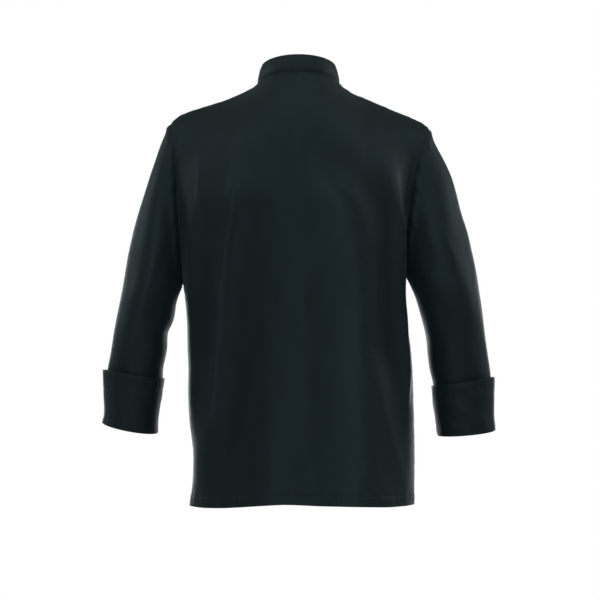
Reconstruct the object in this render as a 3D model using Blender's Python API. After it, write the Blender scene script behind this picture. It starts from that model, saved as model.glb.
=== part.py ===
"""Chef jacket, filled out as if worn: back, two lapped fronts, sleeves, turned-back cuffs, collar, buttons.

Metres, +Z up. The jacket faces -Y, and the wearer's left is +X. The origin is the middle of the neck's
base, between the shoulders that carry the jacket. Every cloth piece is one wall whose outer points are
worked out from the tables below, with its inner points one wall's thickness further in.
"""
import math

import bmesh
import bpy
from mathutils import Vector

# ---- cloth and gaps
WALL = 0.002             # thickness of every cloth wall
SEAM_GAP = 0.0003        # between two pieces that are sewn together
LAP_GAP = 0.0006         # between the outer front and the front under it
SHARP_SEAM = 0.70        # pieces whose mean normal is shorter than this meet in a crease, with no mitre
SHARPEST = 0.35          # the seam gap isn't widened for a crease sharper than this
BACK, FRONT = 1, -1
LEFT, RIGHT = 1, -1

# ---- neck and collar
NECK_MIDDLE = 0.0025                       # across: the neck hangs a little to the wearer's left
NECK_HALF_WIDTH = 0.0725
NECK_BACK, NECK_FRONT = 0.066, 0.075       # from the middle of the neck to its seam, behind and before
NECK_SIDE_HEIGHT = 0.001                   # the neck seam where it meets the shoulder seams
NECK_RISE, NECK_DROP = 0.0185, 0.052       # the seam rises behind and drops before
NECK_FALL = 1.2                            # over 1, the seam falls more steeply towards the front
COLLAR_TOP_HALF_WIDTH = 0.0665
COLLAR_TOP_BACK, COLLAR_TOP_FRONT = 0.058, 0.069
COLLAR_SIDE_HEIGHT = 0.030
COLLAR_RISE, COLLAR_DROP = 0.020, 0.047
COLLAR_HALF_OPENING = math.radians(3)      # between the collar's end and the centre front
COLLAR_CORNER = 0.014                      # how much a rounded end corner takes off its height

# ---- shoulders and armholes, of the wearer's left and right
SHOULDER = {                               # across, height of the shoulder seam
    LEFT: ((0.075, 0.001), (0.084, -0.0050), (0.100, -0.0130), (0.125, -0.0240), (0.155, -0.0343),
           (0.190, -0.0450), (0.2135, -0.0547), (0.228, -0.067)),
    RIGHT: ((0.070, 0.001), (0.089, -0.0125), (0.114, -0.0231), (0.139, -0.0338), (0.164, -0.0445),
            (0.1905, -0.0552), (0.2136, -0.0659), (0.228, -0.0765)),
}
UNDERARM = {LEFT: (0.2074, -0.352), RIGHT: (0.1865, -0.324)}       # across, height
ARMHOLE_HALF_WIDTH = 0.056                 # front to back
ARMHOLE_SCOOP = {LEFT: 0.0, RIGHT: -0.008}                         # how far its middle is drawn in

# ---- body
SIDE = {                                   # height, half width at the side seam
    LEFT: ((-0.352, 0.2074), (-0.379, 0.2043), (-0.400, 0.2012), (-0.422, 0.1990), (-0.484, 0.1976),
           (-0.603, 0.1947), (-0.650, 0.1896), (-0.700, 0.1893), (-0.748, 0.1958)),
    RIGHT: ((-0.324, 0.1865), (-0.360, 0.1885), (-0.420, 0.1930), (-0.484, 0.1976), (-0.603, 0.2019),
            (-0.687, 0.2029), (-0.748, 0.1990)),
}
DEPTH = (                                  # height, centre back, centre front
    (-0.200, 0.130, 0.130), (-0.270, 0.130, 0.139), (-0.340, 0.127, 0.142), (-0.420, 0.122, 0.141),
    (-0.484, 0.119, 0.138), (-0.603, 0.121, 0.137), (-0.687, 0.126, 0.139), (-0.750, 0.131, 0.142),
)
HEM = {                                    # share of the way to the side seam, height
    BACK: ((-1, -0.7440), (-0.57, -0.7440), (-0.33, -0.7415), (-0.11, -0.7390), (0.08, -0.7368),
           (0.23, -0.7390), (0.40, -0.7425), (0.66, -0.7472), (1, -0.7465)),
    FRONT: ((-1, -0.7440), (-0.62, -0.7425), (-0.30, -0.7390), (0.05, -0.7375), (0.35, -0.7405),
            (0.70, -0.7450), (1, -0.7465)),
}
BODY_SQUARENESS, BODY_ROUNDING = 2.5, 0.45  # 2 and 0.5 would be an ellipse
EVENING = 0.050                            # heights this much up and down even out the body's width
SIDE_EXACT = 16                            # the higher, the closer to the side the width is evened out
SLOPE_AT_NECK, SLOPE_AT_TIP = math.radians(46), math.radians(10)   # of the cloth below the top edge
SLOPE_REACH = 0.65                         # share of the half width over which one turns into the other
ARMHOLE_DRAW = 0.5                         # share of the half width that an armhole leaves alone
HANDLE = 0.5                               # of the curves from the top edge to the chest
BODY_CORE = (0, 0, -0.40)                  # a point inside the body

# Folds that lift the cloth, smooth and long: face, then height and place of the top, the middle and the
# bottom of a fold, half its width, and its lift, negative for a trough. Some run out below the hem.
FOLD_RUN_OUT = 0.09                        # the length over which an end of a fold dies away
CALM_SIDE, CALM_TOP = 0.22, 0.4            # folds die away over these shares: to a side, to the top edge
FOLDS = (
    (BACK, -0.120, 0.115, -0.400, 0.142, -0.860, 0.205, 0.018, 0.0075),
    (BACK, -0.160, 0.085, -0.450, 0.105, -0.860, 0.108, 0.028, -0.0050),
    (BACK, -0.110, -0.050, -0.380, -0.077, -0.860, -0.108, 0.026, 0.0060),
    (BACK, -0.180, -0.020, -0.420, -0.035, -0.760, -0.045, 0.022, -0.0035),
    (BACK, -0.260, -0.132, -0.430, -0.122, -0.640, -0.125, 0.026, -0.0050),
    (BACK, -0.460, -0.105, -0.600, -0.155, -0.860, -0.215, 0.020, 0.0070),
    (BACK, -0.090, -0.145, -0.220, -0.168, -0.400, -0.184, 0.014, 0.0055),
    (BACK, -0.080, 0.180, -0.220, 0.186, -0.420, 0.188, 0.016, 0.0050),
    (FRONT, -0.150, 0.125, -0.400, 0.140, -0.860, 0.155, 0.024, 0.0060),
    (FRONT, -0.130, -0.130, -0.400, -0.135, -0.860, -0.165, 0.022, 0.0065),
    (FRONT, -0.280, 0.060, -0.520, 0.095, -0.860, 0.110, 0.028, -0.0040),
    (FRONT, -0.280, -0.168, -0.520, -0.172, -0.860, -0.188, 0.016, 0.0045),
)

# ---- sleeves: height, outer edge across
SLEEVE_OUTER = {
    LEFT: ((-0.067, 0.228), (-0.078, 0.235), (-0.103, 0.2456), (-0.1335, 0.2563), (-0.167, 0.2688),
           (-0.203, 0.2795), (-0.2456, 0.2915), (-0.2937, 0.3044), (-0.349, 0.3140), (-0.390, 0.3220),
           (-0.436, 0.3310), (-0.484, 0.3400), (-0.505, 0.3435), (-0.560, 0.3460), (-0.620, 0.3475)),
    RIGHT: ((-0.0765, 0.228), (-0.090, 0.2335), (-0.112, 0.2439), (-0.144, 0.2600), (-0.176, 0.2730),
            (-0.2225, 0.2866), (-0.2617, 0.2985), (-0.2937, 0.3050), (-0.342, 0.3150), (-0.397, 0.3240),
            (-0.4557, 0.3310), (-0.518, 0.3400), (-0.560, 0.3425), (-0.620, 0.3440)),
}
SLEEVE_INNER = {
    LEFT: ((-0.352, 0.2074), (-0.372, 0.2155), (-0.392, 0.2225), (-0.422, 0.2270), (-0.441, 0.2345),
           (-0.470, 0.2367), (-0.504, 0.2439), (-0.523, 0.2450), (-0.550, 0.2500), (-0.593, 0.2555),
           (-0.625, 0.2570)),
    RIGHT: ((-0.324, 0.1865), (-0.344, 0.1950), (-0.3533, 0.1994), (-0.4076, 0.2170), (-0.4414, 0.2243),
            (-0.504, 0.2314), (-0.530, 0.2367), (-0.5874, 0.2435), (-0.630, 0.2490)),
}
SLEEVE_DEPTH = (                           # height, middle front to back, half depth
    (-0.330, 0.000, 0.071), (-0.370, -0.001, 0.069), (-0.420, -0.005, 0.061), (-0.505, -0.013, 0.050),
    (-0.620, -0.024, 0.0465),
)
RING_TILT = 0.008                          # the outer side of a sleeve's ring is this much above its middle
BICEP_BELOW_UNDERARM = 0.012               # middle of the first whole ring
CAP_LEAVES = (0.62, 0.30, -0.72)           # across, back and up: how a sleeve's cap sets off from its armhole
CAP_ARRIVES = (-0.16, 0, 0.98)             # where it comes from at the first whole ring
CAP_HANDLE = 0.36                          # of that curve, as a share of its chord
SLEEVE_CORE_ACROSS, SLEEVE_CORE_HEIGHT = 0.28, -0.35               # a point inside a sleeve
SLEEVE_FOLDS = (                           # height, turn round the sleeve in degrees, half height, lift
    (-0.420, 200, 0.016, 0.0030), (-0.455, 160, 0.014, -0.0035), (-0.390, 100, 0.020, -0.0030),
    (-0.300, 70, 0.030, 0.0035), (-0.250, 290, 0.030, -0.0035), (-0.440, 280, 0.022, 0.0035),
)
SLEEVE_FOLD_TURN = math.radians(38)        # half width of such a fold round the sleeve
RIGHT_FOLDS_LOWER = 0.020                  # the right sleeve's folds lie this much lower
CALM_CAP_ROWS, CALM_END_ROWS = 3, 4        # rows over which they die away, at the armhole and at the cuff

# ---- cuffs, turned back over the sleeves' ends: heights of their middles, and how far their rings tilt
CUFF = {
    LEFT: {"top": -0.515, "bottom": -0.6115, "top_tilt": 0.008, "bottom_tilt": 0.009, "dip": 0.005},
    RIGHT: {"top": -0.528, "bottom": -0.6205, "top_tilt": 0.008, "bottom_tilt": 0.0045, "dip": 0.003},
}                                          # dip: how far the back of the bottom edge hangs lower
CUFF_OUTER = {                             # height, outer edge across
    LEFT: ((-0.507, 0.3524), (-0.550, 0.3512), (-0.585, 0.3505), (-0.6015, 0.3545)),
    RIGHT: ((-0.520, 0.3475), (-0.560, 0.3472), (-0.595, 0.3475), (-0.6155, 0.3500)),
}
CUFF_INNER = {
    LEFT: ((-0.523, 0.2415), (-0.550, 0.2460), (-0.593, 0.2525), (-0.6195, 0.2535)),
    RIGHT: ((-0.536, 0.2345), (-0.5625, 0.2368), (-0.5874, 0.2403), (-0.6245, 0.2455)),
}
CUFF_STAND_OFF = (0.0065, 0.0030)          # beyond the sleeve's half depth, at its top and at its bottom

# ---- buttons
BUTTON_RADIUS = 0.010
BUTTON_HEIGHT = 0.0035
BUTTON_RIM = 0.0022                        # width of the raised rim
BUTTON_DISH = 0.0008                       # depth of the middle below the rim
BUTTON_FOOT, BUTTON_BELLY = 0.86, 0.45     # the foot's share of the radius, the widest place's of the height
BUTTON_CROWN = 0.4                         # how far across the rim its highest place is
BUTTON_ROWS = 5
BUTTON_ACROSS = 0.060                      # of each column, from the centre front
BUTTON_TOP, BUTTON_STEP = -0.118, 0.100    # height of the first row, and down to the next
BUTTON_CLEARANCE = 0.0004                  # off the cloth under it

# ---- how finely the walls are divided
TOP_ROWS, ARMHOLE_ROWS, SKIRT_ROWS = 6, 6, 9
HALF_COLUMNS = 20
NECK_COLUMNS = 9                           # of these, the ones that meet the neck
LAP_COLUMNS = 6                            # each front passes the centre by this many
CAP_ROWS, SLEEVE_ROWS, CUFF_ROWS, COLLAR_ROWS = 7, 9, 4, 3
BUTTON_SIDES = 16

CLOTH_COLOUR, CLOTH_ROUGHNESS = (0.0125, 0.0190, 0.0205, 1.0), 0.75
BUTTON_COLOUR, BUTTON_ROUGHNESS = (0.010, 0.012, 0.013, 1.0), 0.35
SHARP_EDGE = math.radians(50)              # faces that meet in a sharper edge than this aren't shaded smooth


# ---- reading the tables
def read(table, at):
    """The other columns of a table at a value of its first, on a smooth curve through its rows."""
    rows = sorted(table)
    at = min(max(at, rows[0][0]), rows[-1][0])
    start = max(k for k in range(len(rows) - 1) if rows[k][0] <= at)
    span = rows[start + 1][0] - rows[start][0]
    t = (at - rows[start][0]) / span

    def slope(k, column):
        before, after = rows[max(k - 1, 0)], rows[min(k + 1, len(rows) - 1)]
        return (after[column] - before[column]) / (after[0] - before[0])

    values = []
    for column in range(1, len(rows[0])):
        low, high = rows[start][column], rows[start + 1][column]
        leave, arrive = slope(start, column) * span, slope(start + 1, column) * span
        values.append((2 * t ** 3 - 3 * t * t + 1) * low + (t ** 3 - 2 * t * t + t) * leave
                      + (3 * t * t - 2 * t ** 3) * high + (t ** 3 - t * t) * arrive)
    return values


def mix(low, high, share):
    return low + (high - low) * share


def ease(share):
    share = min(max(share, 0.0), 1.0)
    return share * share * (3 - 2 * share)


def bezier(start, leave, arrive, end, t):
    return (start * (1 - t) ** 3 + leave * 3 * t * (1 - t) ** 2
            + arrive * 3 * t * t * (1 - t) + end * t ** 3)


# ---- the body's surface
def armhole(side, turn):
    """The armhole seam: turn 0 at the shoulder, a quarter at the back, half at the underarm."""
    tip_across, tip_height = SHOULDER[side][-1]
    under_across, under_height = UNDERARM[side]
    height = (tip_height + under_height) / 2 + (tip_height - under_height) / 2 * math.cos(turn)
    fall = (tip_height - height) / (tip_height - under_height)
    across = mix(tip_across, under_across, fall) + ARMHOLE_SCOOP[side] * math.sin(turn) ** 2
    return Vector((side * across, ARMHOLE_HALF_WIDTH * math.sin(turn), height))


def neck_seam(turn):
    """The seam between body and collar: turn 0 at the centre back, half a turn at the centre front."""
    behind = math.cos(turn)
    if behind >= 0:
        height, deep = NECK_SIDE_HEIGHT + NECK_RISE * behind, NECK_BACK * behind
    else:
        height, deep = NECK_SIDE_HEIGHT - NECK_DROP * (-behind) ** NECK_FALL, NECK_FRONT * behind
    return Vector((NECK_MIDDLE + NECK_HALF_WIDTH * math.sin(turn), deep, height))


def top_edge(face, across):
    """Where a body panel starts: the neck seam, then the shoulder seam. across is -1 to 1."""
    side = LEFT if across >= 0 else RIGHT
    neck_share = NECK_COLUMNS / HALF_COLUMNS
    share = abs(across) / neck_share
    if share <= 1:
        quarter = share * math.pi / 2
        return neck_seam(side * (quarter if face == BACK else math.pi - quarter))
    reach = mix(SHOULDER[side][0][0], SHOULDER[side][-1][0], (abs(across) - neck_share) / (1 - neck_share))
    return Vector((side * reach, 0, read(SHOULDER[side], reach)[0]))


def depth(face, height):
    behind, before = read(DEPTH, height)
    return behind if face == BACK else before


def ring_reach(side, face, height):
    """Half width of the body's ring at a height, and the share of it that the panel reaches to."""
    if height <= UNDERARM[side][1]:
        return read(SIDE[side], height)[0], 1
    tip_height, under_height = SHOULDER[side][-1][1], UNDERARM[side][1]
    middle, reach = (tip_height + under_height) / 2, (tip_height - under_height) / 2
    seam = armhole(side, math.acos(min((height - middle) / reach, 1)))
    share = (1 - (seam.y / depth(face, height)) ** (1 / BODY_ROUNDING)) ** (1 / BODY_SQUARENESS)
    return abs(seam.x) / share, share


def ring_half_width(side, face, height, reach):
    """The ring's half width, evened out over nearby heights except close to the side, where reach is 1."""
    heights = [height + step * EVENING / 3 for step in range(-3, 4)]
    even = sum(ring_reach(side, face, at)[0] for at in heights) / len(heights)
    return mix(even, ring_reach(side, face, height)[0], reach ** SIDE_EXACT)


def body_below_chest(face, down, across):
    """down 1 at the chest, 2 at the underarm, 3 at the hem."""
    side = LEFT if across >= 0 else RIGHT
    turn = min(down, 2) * math.pi / 2
    edge_height = armhole(side, turn).z
    height = mix((armhole(LEFT, turn).z + armhole(RIGHT, turn).z) / 2, edge_height, across * across)
    if down > 2:
        edge_height = mix(edge_height, read(HEM[face], side)[0], down - 2)
        height = mix(height, read(HEM[face], across)[0], down - 2)
    reach = math.sin(abs(across) * math.pi / 2)
    swing = reach * ring_reach(side, face, edge_height)[1]
    bulge = max(1 - swing ** BODY_SQUARENESS, 0) ** BODY_ROUNDING
    half_width = ring_half_width(side, face, height, reach)
    return Vector((side * half_width * swing, face * depth(face, height) * bulge, height))


def over_the_top(start, end, slope, face, share):
    """From the top edge, at a slope, to the chest, where the cloth hangs straight down."""
    handle = HANDLE * abs(end.y - start.y) / math.cos(slope)
    leave = start + Vector((0, face * math.cos(slope), -math.sin(slope))) * handle
    return bezier(start, leave, end + Vector((0, 0, HANDLE * (start.z - end.z))), end, share)


def body_smooth(face, down, across):
    """A point of the body before its folds: down 0 at the top edge, 1 chest, 2 underarm, 3 hem."""
    if down >= 1:
        return body_below_chest(face, down, across)
    side = LEFT if across >= 0 else RIGHT
    start, end = top_edge(face, across), body_below_chest(face, 1, across)
    slope = mix(SLOPE_AT_NECK, SLOPE_AT_TIP, ease(abs(across) / SLOPE_REACH))
    point = over_the_top(start, end, slope, face, down)
    if abs(across) > ARMHOLE_DRAW:
        plain_edge = over_the_top(armhole(side, 0), armhole(side, face * math.pi / 2), slope, face, down)
        seam = armhole(side, face * down * math.pi / 2)
        point += (seam - plain_edge) * ((abs(across) - ARMHOLE_DRAW) / (1 - ARMHOLE_DRAW)) ** 3
    return point


def body_normal(face, down, across):
    """Outward normal of the smooth body."""
    step = 0.004
    fall = body_smooth(face, min(down + step, 3), across) - body_smooth(face, max(down - step, 0), across)
    swing = body_smooth(face, down, min(across + step, 1)) - body_smooth(face, down, max(across - step, -1))
    return swing.cross(fall).normalized() * face


def fold_lift(face, point):
    """How far the folds of one face lift its cloth at a point."""
    lift = 0
    for fold_face, top, top_x, middle, middle_x, bottom, bottom_x, half_width, height in FOLDS:
        if fold_face != face or not bottom < point.z < top:
            continue
        ridge = read(((top, top_x), (middle, middle_x), (bottom, bottom_x)), point.z)[0]
        ends = ease((top - point.z) / FOLD_RUN_OUT) * ease((point.z - bottom) / FOLD_RUN_OUT)
        lift += height * ends * math.exp(-((point.x - ridge) / half_width) ** 2)
    return lift


def body_grid(face, columns):
    """Outer points of one face of the body, a row for each height."""
    downs = ([k / TOP_ROWS for k in range(TOP_ROWS)]
             + [1 + k / ARMHOLE_ROWS for k in range(ARMHOLE_ROWS)]
             + [2 + k / SKIRT_ROWS for k in range(SKIRT_ROWS + 1)])
    grid = []
    for down in downs:
        row = []
        for across in columns:
            point = body_smooth(face, down, across)
            calm = ease((1 - abs(across)) / CALM_SIDE) * ease(down / CALM_TOP)
            lift = fold_lift(face, point) * calm
            row.append(point + body_normal(face, down, across) * lift if lift else point)
        grid.append(row)
    return grid


# ---- sleeves, cuffs and collar
def sleeve_ring(side, height, turn):
    """A whole ring of a sleeve: turn 0 at its outer side, a quarter at its back, half at its inner side."""
    cuff = CUFF[side]
    in_cuff = ease((cuff["top"] - height) / (cuff["top"] - cuff["bottom"]))
    tilt = mix(RING_TILT, cuff["bottom_tilt"], in_cuff)
    outer = read(SLEEVE_OUTER[side], height + tilt)[0]
    inner = read(SLEEVE_INNER[side], height - tilt)[0]
    deep, half_depth = read(SLEEVE_DEPTH, height)
    across = (outer + inner) / 2 + (outer - inner) / 2 * math.cos(turn)
    rise = tilt * math.cos(turn) - cuff["dip"] * in_cuff * math.sin(turn)
    return Vector((side * across, deep + half_depth * math.sin(turn), height + rise))


def sleeve_cap(side, share, turn):
    """From the armhole seam, share 0, to the first whole ring, share 1."""
    bicep = UNDERARM[side][1] - BICEP_BELOW_UNDERARM
    outline = None
    for at in (0, turn):
        start, end = armhole(side, at), sleeve_ring(side, bicep, at)
        length = (end - start).length
        leave = Vector((side * CAP_LEAVES[0], CAP_LEAVES[1] * math.sin(at), CAP_LEAVES[2])).normalized()
        leave = start + leave * length * CAP_HANDLE
        arrive = end + Vector((side * CAP_ARRIVES[0], CAP_ARRIVES[1], CAP_ARRIVES[2])) * length * CAP_HANDLE
        point = bezier(start, leave, arrive, end, share)
        if outline is None:
            outline = side * read(SLEEVE_OUTER[side], point.z)[0] - point.x
    point.x += outline * max(math.cos(turn), 0) ** 2
    return point


def sleeve_lift(side, point, turn):
    lift = 0
    for height, degrees, half_height, rise in SLEEVE_FOLDS:
        middle = height if side == LEFT else height - RIGHT_FOLDS_LOWER
        apart = (turn - math.radians(degrees) + math.pi) % (2 * math.pi) - math.pi
        lift += rise * math.exp(-((point.z - middle) / half_height) ** 2 - (apart / SLEEVE_FOLD_TURN) ** 2)
    return lift


def ring_turns():
    count = 2 * (TOP_ROWS + ARMHOLE_ROWS)
    return [2 * math.pi * k / count for k in range(count)]


def sleeve_core(side):
    return Vector((side * SLEEVE_CORE_ACROSS, 0, SLEEVE_CORE_HEIGHT))


def sleeve_grid(side):
    """Rings from the armhole seam down to the sleeve's end inside the cuff."""
    start = UNDERARM[side][1] - BICEP_BELOW_UNDERARM
    end = CUFF[side]["bottom"] + WALL + SEAM_GAP / 2
    grid = [[sleeve_cap(side, k / CAP_ROWS, turn) for turn in ring_turns()] for k in range(CAP_ROWS)]
    for k in range(SLEEVE_ROWS + 1):
        grid.append([sleeve_ring(side, mix(start, end, k / SLEEVE_ROWS), turn) for turn in ring_turns()])
    normals = grid_normals(grid, True, sleeve_core(side))
    for number, (row, row_normals) in enumerate(zip(grid, normals)):
        fade = ease(number / CALM_CAP_ROWS) * ease((len(grid) - 1 - number) / CALM_END_ROWS)
        for point, normal, turn in zip(row, row_normals, ring_turns()):
            point += normal * sleeve_lift(side, point, turn) * fade
    return grid


def cuff_ring(side, share, turn, inset):
    """A ring of a cuff: share 0 at its top, 1 at its bottom edge."""
    cuff = CUFF[side]
    height = mix(cuff["top"], cuff["bottom"], share)
    tilt = mix(cuff["top_tilt"], cuff["bottom_tilt"], share)
    outer = read(CUFF_OUTER[side], height + tilt)[0] - inset
    inner = read(CUFF_INNER[side], height - tilt)[0] + inset
    deep, half_depth = read(SLEEVE_DEPTH, height)
    half_depth += mix(CUFF_STAND_OFF[0], CUFF_STAND_OFF[1], share) - inset
    across = (outer + inner) / 2 + (outer - inner) / 2 * math.cos(turn)
    rise = tilt * math.cos(turn) - cuff["dip"] * share * math.sin(turn)
    return Vector((side * across, deep + half_depth * math.sin(turn), height + rise))


def collar_top(turn):
    """The collar's top edge, above the same turn of its seam."""
    behind = math.cos(turn)
    if behind >= 0:
        height, deep = COLLAR_SIDE_HEIGHT + COLLAR_RISE * behind, COLLAR_TOP_BACK * behind
    else:
        height = COLLAR_SIDE_HEIGHT - COLLAR_DROP * (-behind) ** NECK_FALL
        deep = COLLAR_TOP_FRONT * behind
    return Vector((NECK_MIDDLE + COLLAR_TOP_HALF_WIDTH * math.sin(turn), deep, height))


def collar_grid():
    """Rows from the neck seam up, each from the right end round the back to the left end."""
    step = math.pi / (2 * NECK_COLUMNS)
    turns = [step * k for k in range(-2 * NECK_COLUMNS, 2 * NECK_COLUMNS + 1)]
    low, high = [neck_seam(turn) for turn in turns], [collar_top(turn) for turn in turns]
    for end, neighbour in ((0, 1), (-1, -2)):
        low[end] = low[end].lerp(low[neighbour], COLLAR_HALF_OPENING / step)
        high[end] = high[end].lerp(high[neighbour], COLLAR_HALF_OPENING / step)
        high[end].z -= COLLAR_CORNER
    shares = [k / COLLAR_ROWS for k in range(COLLAR_ROWS + 1)]
    return [[seam.lerp(top, share) for seam, top in zip(low, high)] for share in shares]


# ---- turning grids of outer points into walls
def grid_normals(grid, closed, core):
    """Outward normals of a grid's points, away from a point inside the piece."""
    rows, columns = len(grid), len(grid[0])
    normals, outward = [], 0
    for i in range(rows):
        line = []
        for j in range(columns):
            up, down = grid[max(i - 1, 0)][j], grid[min(i + 1, rows - 1)][j]
            if closed:
                before, after = grid[i][j - 1], grid[i][(j + 1) % columns]
            else:
                before, after = grid[i][max(j - 1, 0)], grid[i][min(j + 1, columns - 1)]
            normal = (after - before).cross(down - up).normalized()
            outward += normal.dot(grid[i][j] - core)
            line.append(normal)
        normals.append(line)
    if outward < 0:
        normals = [[-normal for normal in line] for line in normals]
    return normals


def place_key(point):
    return tuple(round(value, 6) for value in point)


def shared_normals(pieces):
    """The mean of the normals of all the pieces that meet at a point, which is shorter at a sharp seam."""
    sums, counts = {}, {}
    for piece in pieces.values():
        for row, row_normals in zip(piece["grid"], piece["normals"]):
            for point, normal in zip(row, row_normals):
                key = place_key(point)
                sums[key] = sums.get(key, Vector((0, 0, 0))) + normal
                counts[key] = counts.get(key, 0) + 1
    return {key: total / counts[key] for key, total in sums.items()}


def seam_pull(grid, closed, i, j, outward):
    """Half a seam gap away from each edge that a point lies on, towards the inside of its piece."""
    rows, columns = len(grid), len(grid[0])
    edges = []
    if i in (0, rows - 1):
        edges.append((grid[1 if i == 0 else rows - 2][j],
                      grid[i][j - 1 if closed or j else 0],
                      grid[i][(j + 1) % columns if closed else min(j + 1, columns - 1)]))
    if not closed and j in (0, columns - 1):
        edges.append((grid[i][1 if j == 0 else columns - 2], grid[max(i - 1, 0)][j],
                      grid[min(i + 1, rows - 1)][j]))
    pull = Vector((0, 0, 0))
    for neighbour, before, after in edges:
        across = (after - before).normalized().cross(outward).normalized()
        if across.dot(neighbour - grid[i][j]) < 0:
            across.negate()
        pull += across * SEAM_GAP / 2
    return pull


def wall_mesh(name, piece, means):
    """A closed wall: the grid's points outside, the same points moved in by WALL inside."""
    grid, normals, closed = piece["grid"], piece["normals"], piece["closed"]
    rows, columns = len(grid), len(grid[0])
    mesh = bmesh.new()
    skins = ([], [])
    for i in range(rows):
        for j in range(columns):
            point = grid[i][j]
            mean = means[place_key(point)]
            mitred = ease((mean.length - SHARP_SEAM) / (1 - SHARP_SEAM) * 2)
            outward = normals[i][j].lerp(mean.normalized(), mitred).normalized()
            widen = mix(1 / max(mean.length, SHARPEST), 1, mitred)
            shifted = point + seam_pull(grid, closed, i, j, outward) * widen
            skins[0].append(mesh.verts.new(shifted))
            skins[1].append(mesh.verts.new(shifted - outward * WALL * mix(1, 1 / mean.length, mitred)))
    last_column = columns if closed else columns - 1
    for skin in skins:
        for i in range(rows - 1):
            for j in range(last_column):
                k = (j + 1) % columns
                corners = [skin[i * columns + j], skin[i * columns + k],
                           skin[(i + 1) * columns + k], skin[(i + 1) * columns + j]]
                mesh.faces.new(corners[:3])
                mesh.faces.new([corners[0], corners[2], corners[3]])
    rims = [[(i * columns + j) for j in range(columns)] for i in (0, rows - 1)]
    if closed:
        for rim in rims:
            rim.append(rim[0])
    else:
        rims += [[(i * columns + j) for i in range(rows)] for j in (0, columns - 1)]
    for rim in rims:
        for a, b in zip(rim, rim[1:]):
            if place_key(grid[a // columns][a % columns]) > place_key(grid[b // columns][b % columns]):
                a, b = b, a
            mesh.faces.new([skins[0][a], skins[0][b], skins[1][b]])
            mesh.faces.new([skins[0][a], skins[1][b], skins[1][a]])
    return finish_mesh(name, mesh)


def finish_mesh(name, mesh):
    bmesh.ops.recalc_face_normals(mesh, faces=mesh.faces)
    data = bpy.data.meshes.new(name)
    mesh.to_mesh(data)
    mesh.free()
    data.shade_smooth()
    data.set_sharp_from_angle(angle=SHARP_EDGE)
    return data


def cuff_mesh(side):
    """The band outside the sleeve's end, and the lip under that end which it is turned up from."""
    turns = ring_turns()
    outside = [[cuff_ring(side, k / CUFF_ROWS, turn, 0) for turn in turns] for k in range(CUFF_ROWS + 1)]
    inside = [[cuff_ring(side, k / CUFF_ROWS, turn, WALL) for turn in turns] for k in range(CUFF_ROWS + 1)]
    inside[-1] = [point + Vector((0, 0, WALL)) for point in inside[-1]]
    sleeve_end = sleeve_grid(side)[-1]
    middle = sum(sleeve_end, Vector((0, 0, 0))) / len(sleeve_end)
    lip = []
    for point, edge in zip(sleeve_end, outside[-1]):
        inner = middle + (point - middle) * (1 - WALL / (point - middle).length)
        lip.append(Vector((inner.x, inner.y, edge.z)))
    section = outside + [lip, [point + Vector((0, 0, WALL)) for point in lip]] + inside[::-1]
    mesh = bmesh.new()
    rings = [[mesh.verts.new(point) for point in ring] for ring in section]
    for ring, following in zip(rings, rings[1:] + rings[:1]):
        for j in range(len(turns)):
            k = (j + 1) % len(turns)
            mesh.faces.new([ring[j], ring[k], following[k]])
            mesh.faces.new([ring[j], following[k], following[j]])
    return finish_mesh("cuff", mesh)


def button_mesh():
    """A turned disc with a raised rim, its back on Z = 0."""
    floor = BUTTON_HEIGHT - BUTTON_DISH
    crown = BUTTON_RADIUS - BUTTON_RIM * BUTTON_CROWN
    profile = ((0, 0), (BUTTON_RADIUS * BUTTON_FOOT, 0), (BUTTON_RADIUS, BUTTON_HEIGHT * BUTTON_BELLY),
               (crown, BUTTON_HEIGHT), (BUTTON_RADIUS - BUTTON_RIM, floor), (0, floor))
    mesh = bmesh.new()
    rings = []
    for radius, height in profile:
        if radius == 0:
            rings.append([mesh.verts.new((0, 0, height))] * BUTTON_SIDES)
            continue
        angles = [2 * math.pi * k / BUTTON_SIDES for k in range(BUTTON_SIDES)]
        rings.append([mesh.verts.new((radius * math.cos(a), radius * math.sin(a), height)) for a in angles])
    for ring, following in zip(rings, rings[1:]):
        for j in range(BUTTON_SIDES):
            k = (j + 1) % BUTTON_SIDES
            corners = []
            for corner in (ring[j], ring[k], following[k], following[j]):
                if corner not in corners:
                    corners.append(corner)
            mesh.faces.new(corners)
    return finish_mesh("button", mesh)


# ---- putting it together
def body_columns():
    return [k / HALF_COLUMNS for k in range(-HALF_COLUMNS, HALF_COLUMNS + 1)]


def front_grids():
    """The outer front from the left side past the centre, and the other front passing under it."""
    whole = body_grid(FRONT, body_columns())
    normals = grid_normals(whole, False, Vector(BODY_CORE))
    outer_start = HALF_COLUMNS - LAP_COLUMNS
    under_end = HALF_COLUMNS + LAP_COLUMNS
    outer = [[point.copy() for point in row[outer_start:]] for row in whole]
    under = []
    for row, row_normals in zip(whole, normals):
        line = []
        for j, (point, normal) in enumerate(zip(row[:under_end + 1], row_normals)):
            sunk = WALL + LAP_GAP if j >= outer_start - 1 else 0
            line.append(point - normal * sunk)
        under.append(line)
    return outer, under


def material(name, colour, roughness):
    made = bpy.data.materials.new(name)
    made.use_nodes = True
    shader = made.node_tree.nodes["Principled BSDF"]
    shader.inputs["Base Color"].default_value = colour
    shader.inputs["Roughness"].default_value = roughness
    shader.inputs["Metallic"].default_value = 0.0
    return made


def add(name, data, finish):
    piece = bpy.data.objects.new(name, data)
    piece.data.materials.append(finish)
    bpy.context.scene.collection.objects.link(piece)
    return piece


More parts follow.
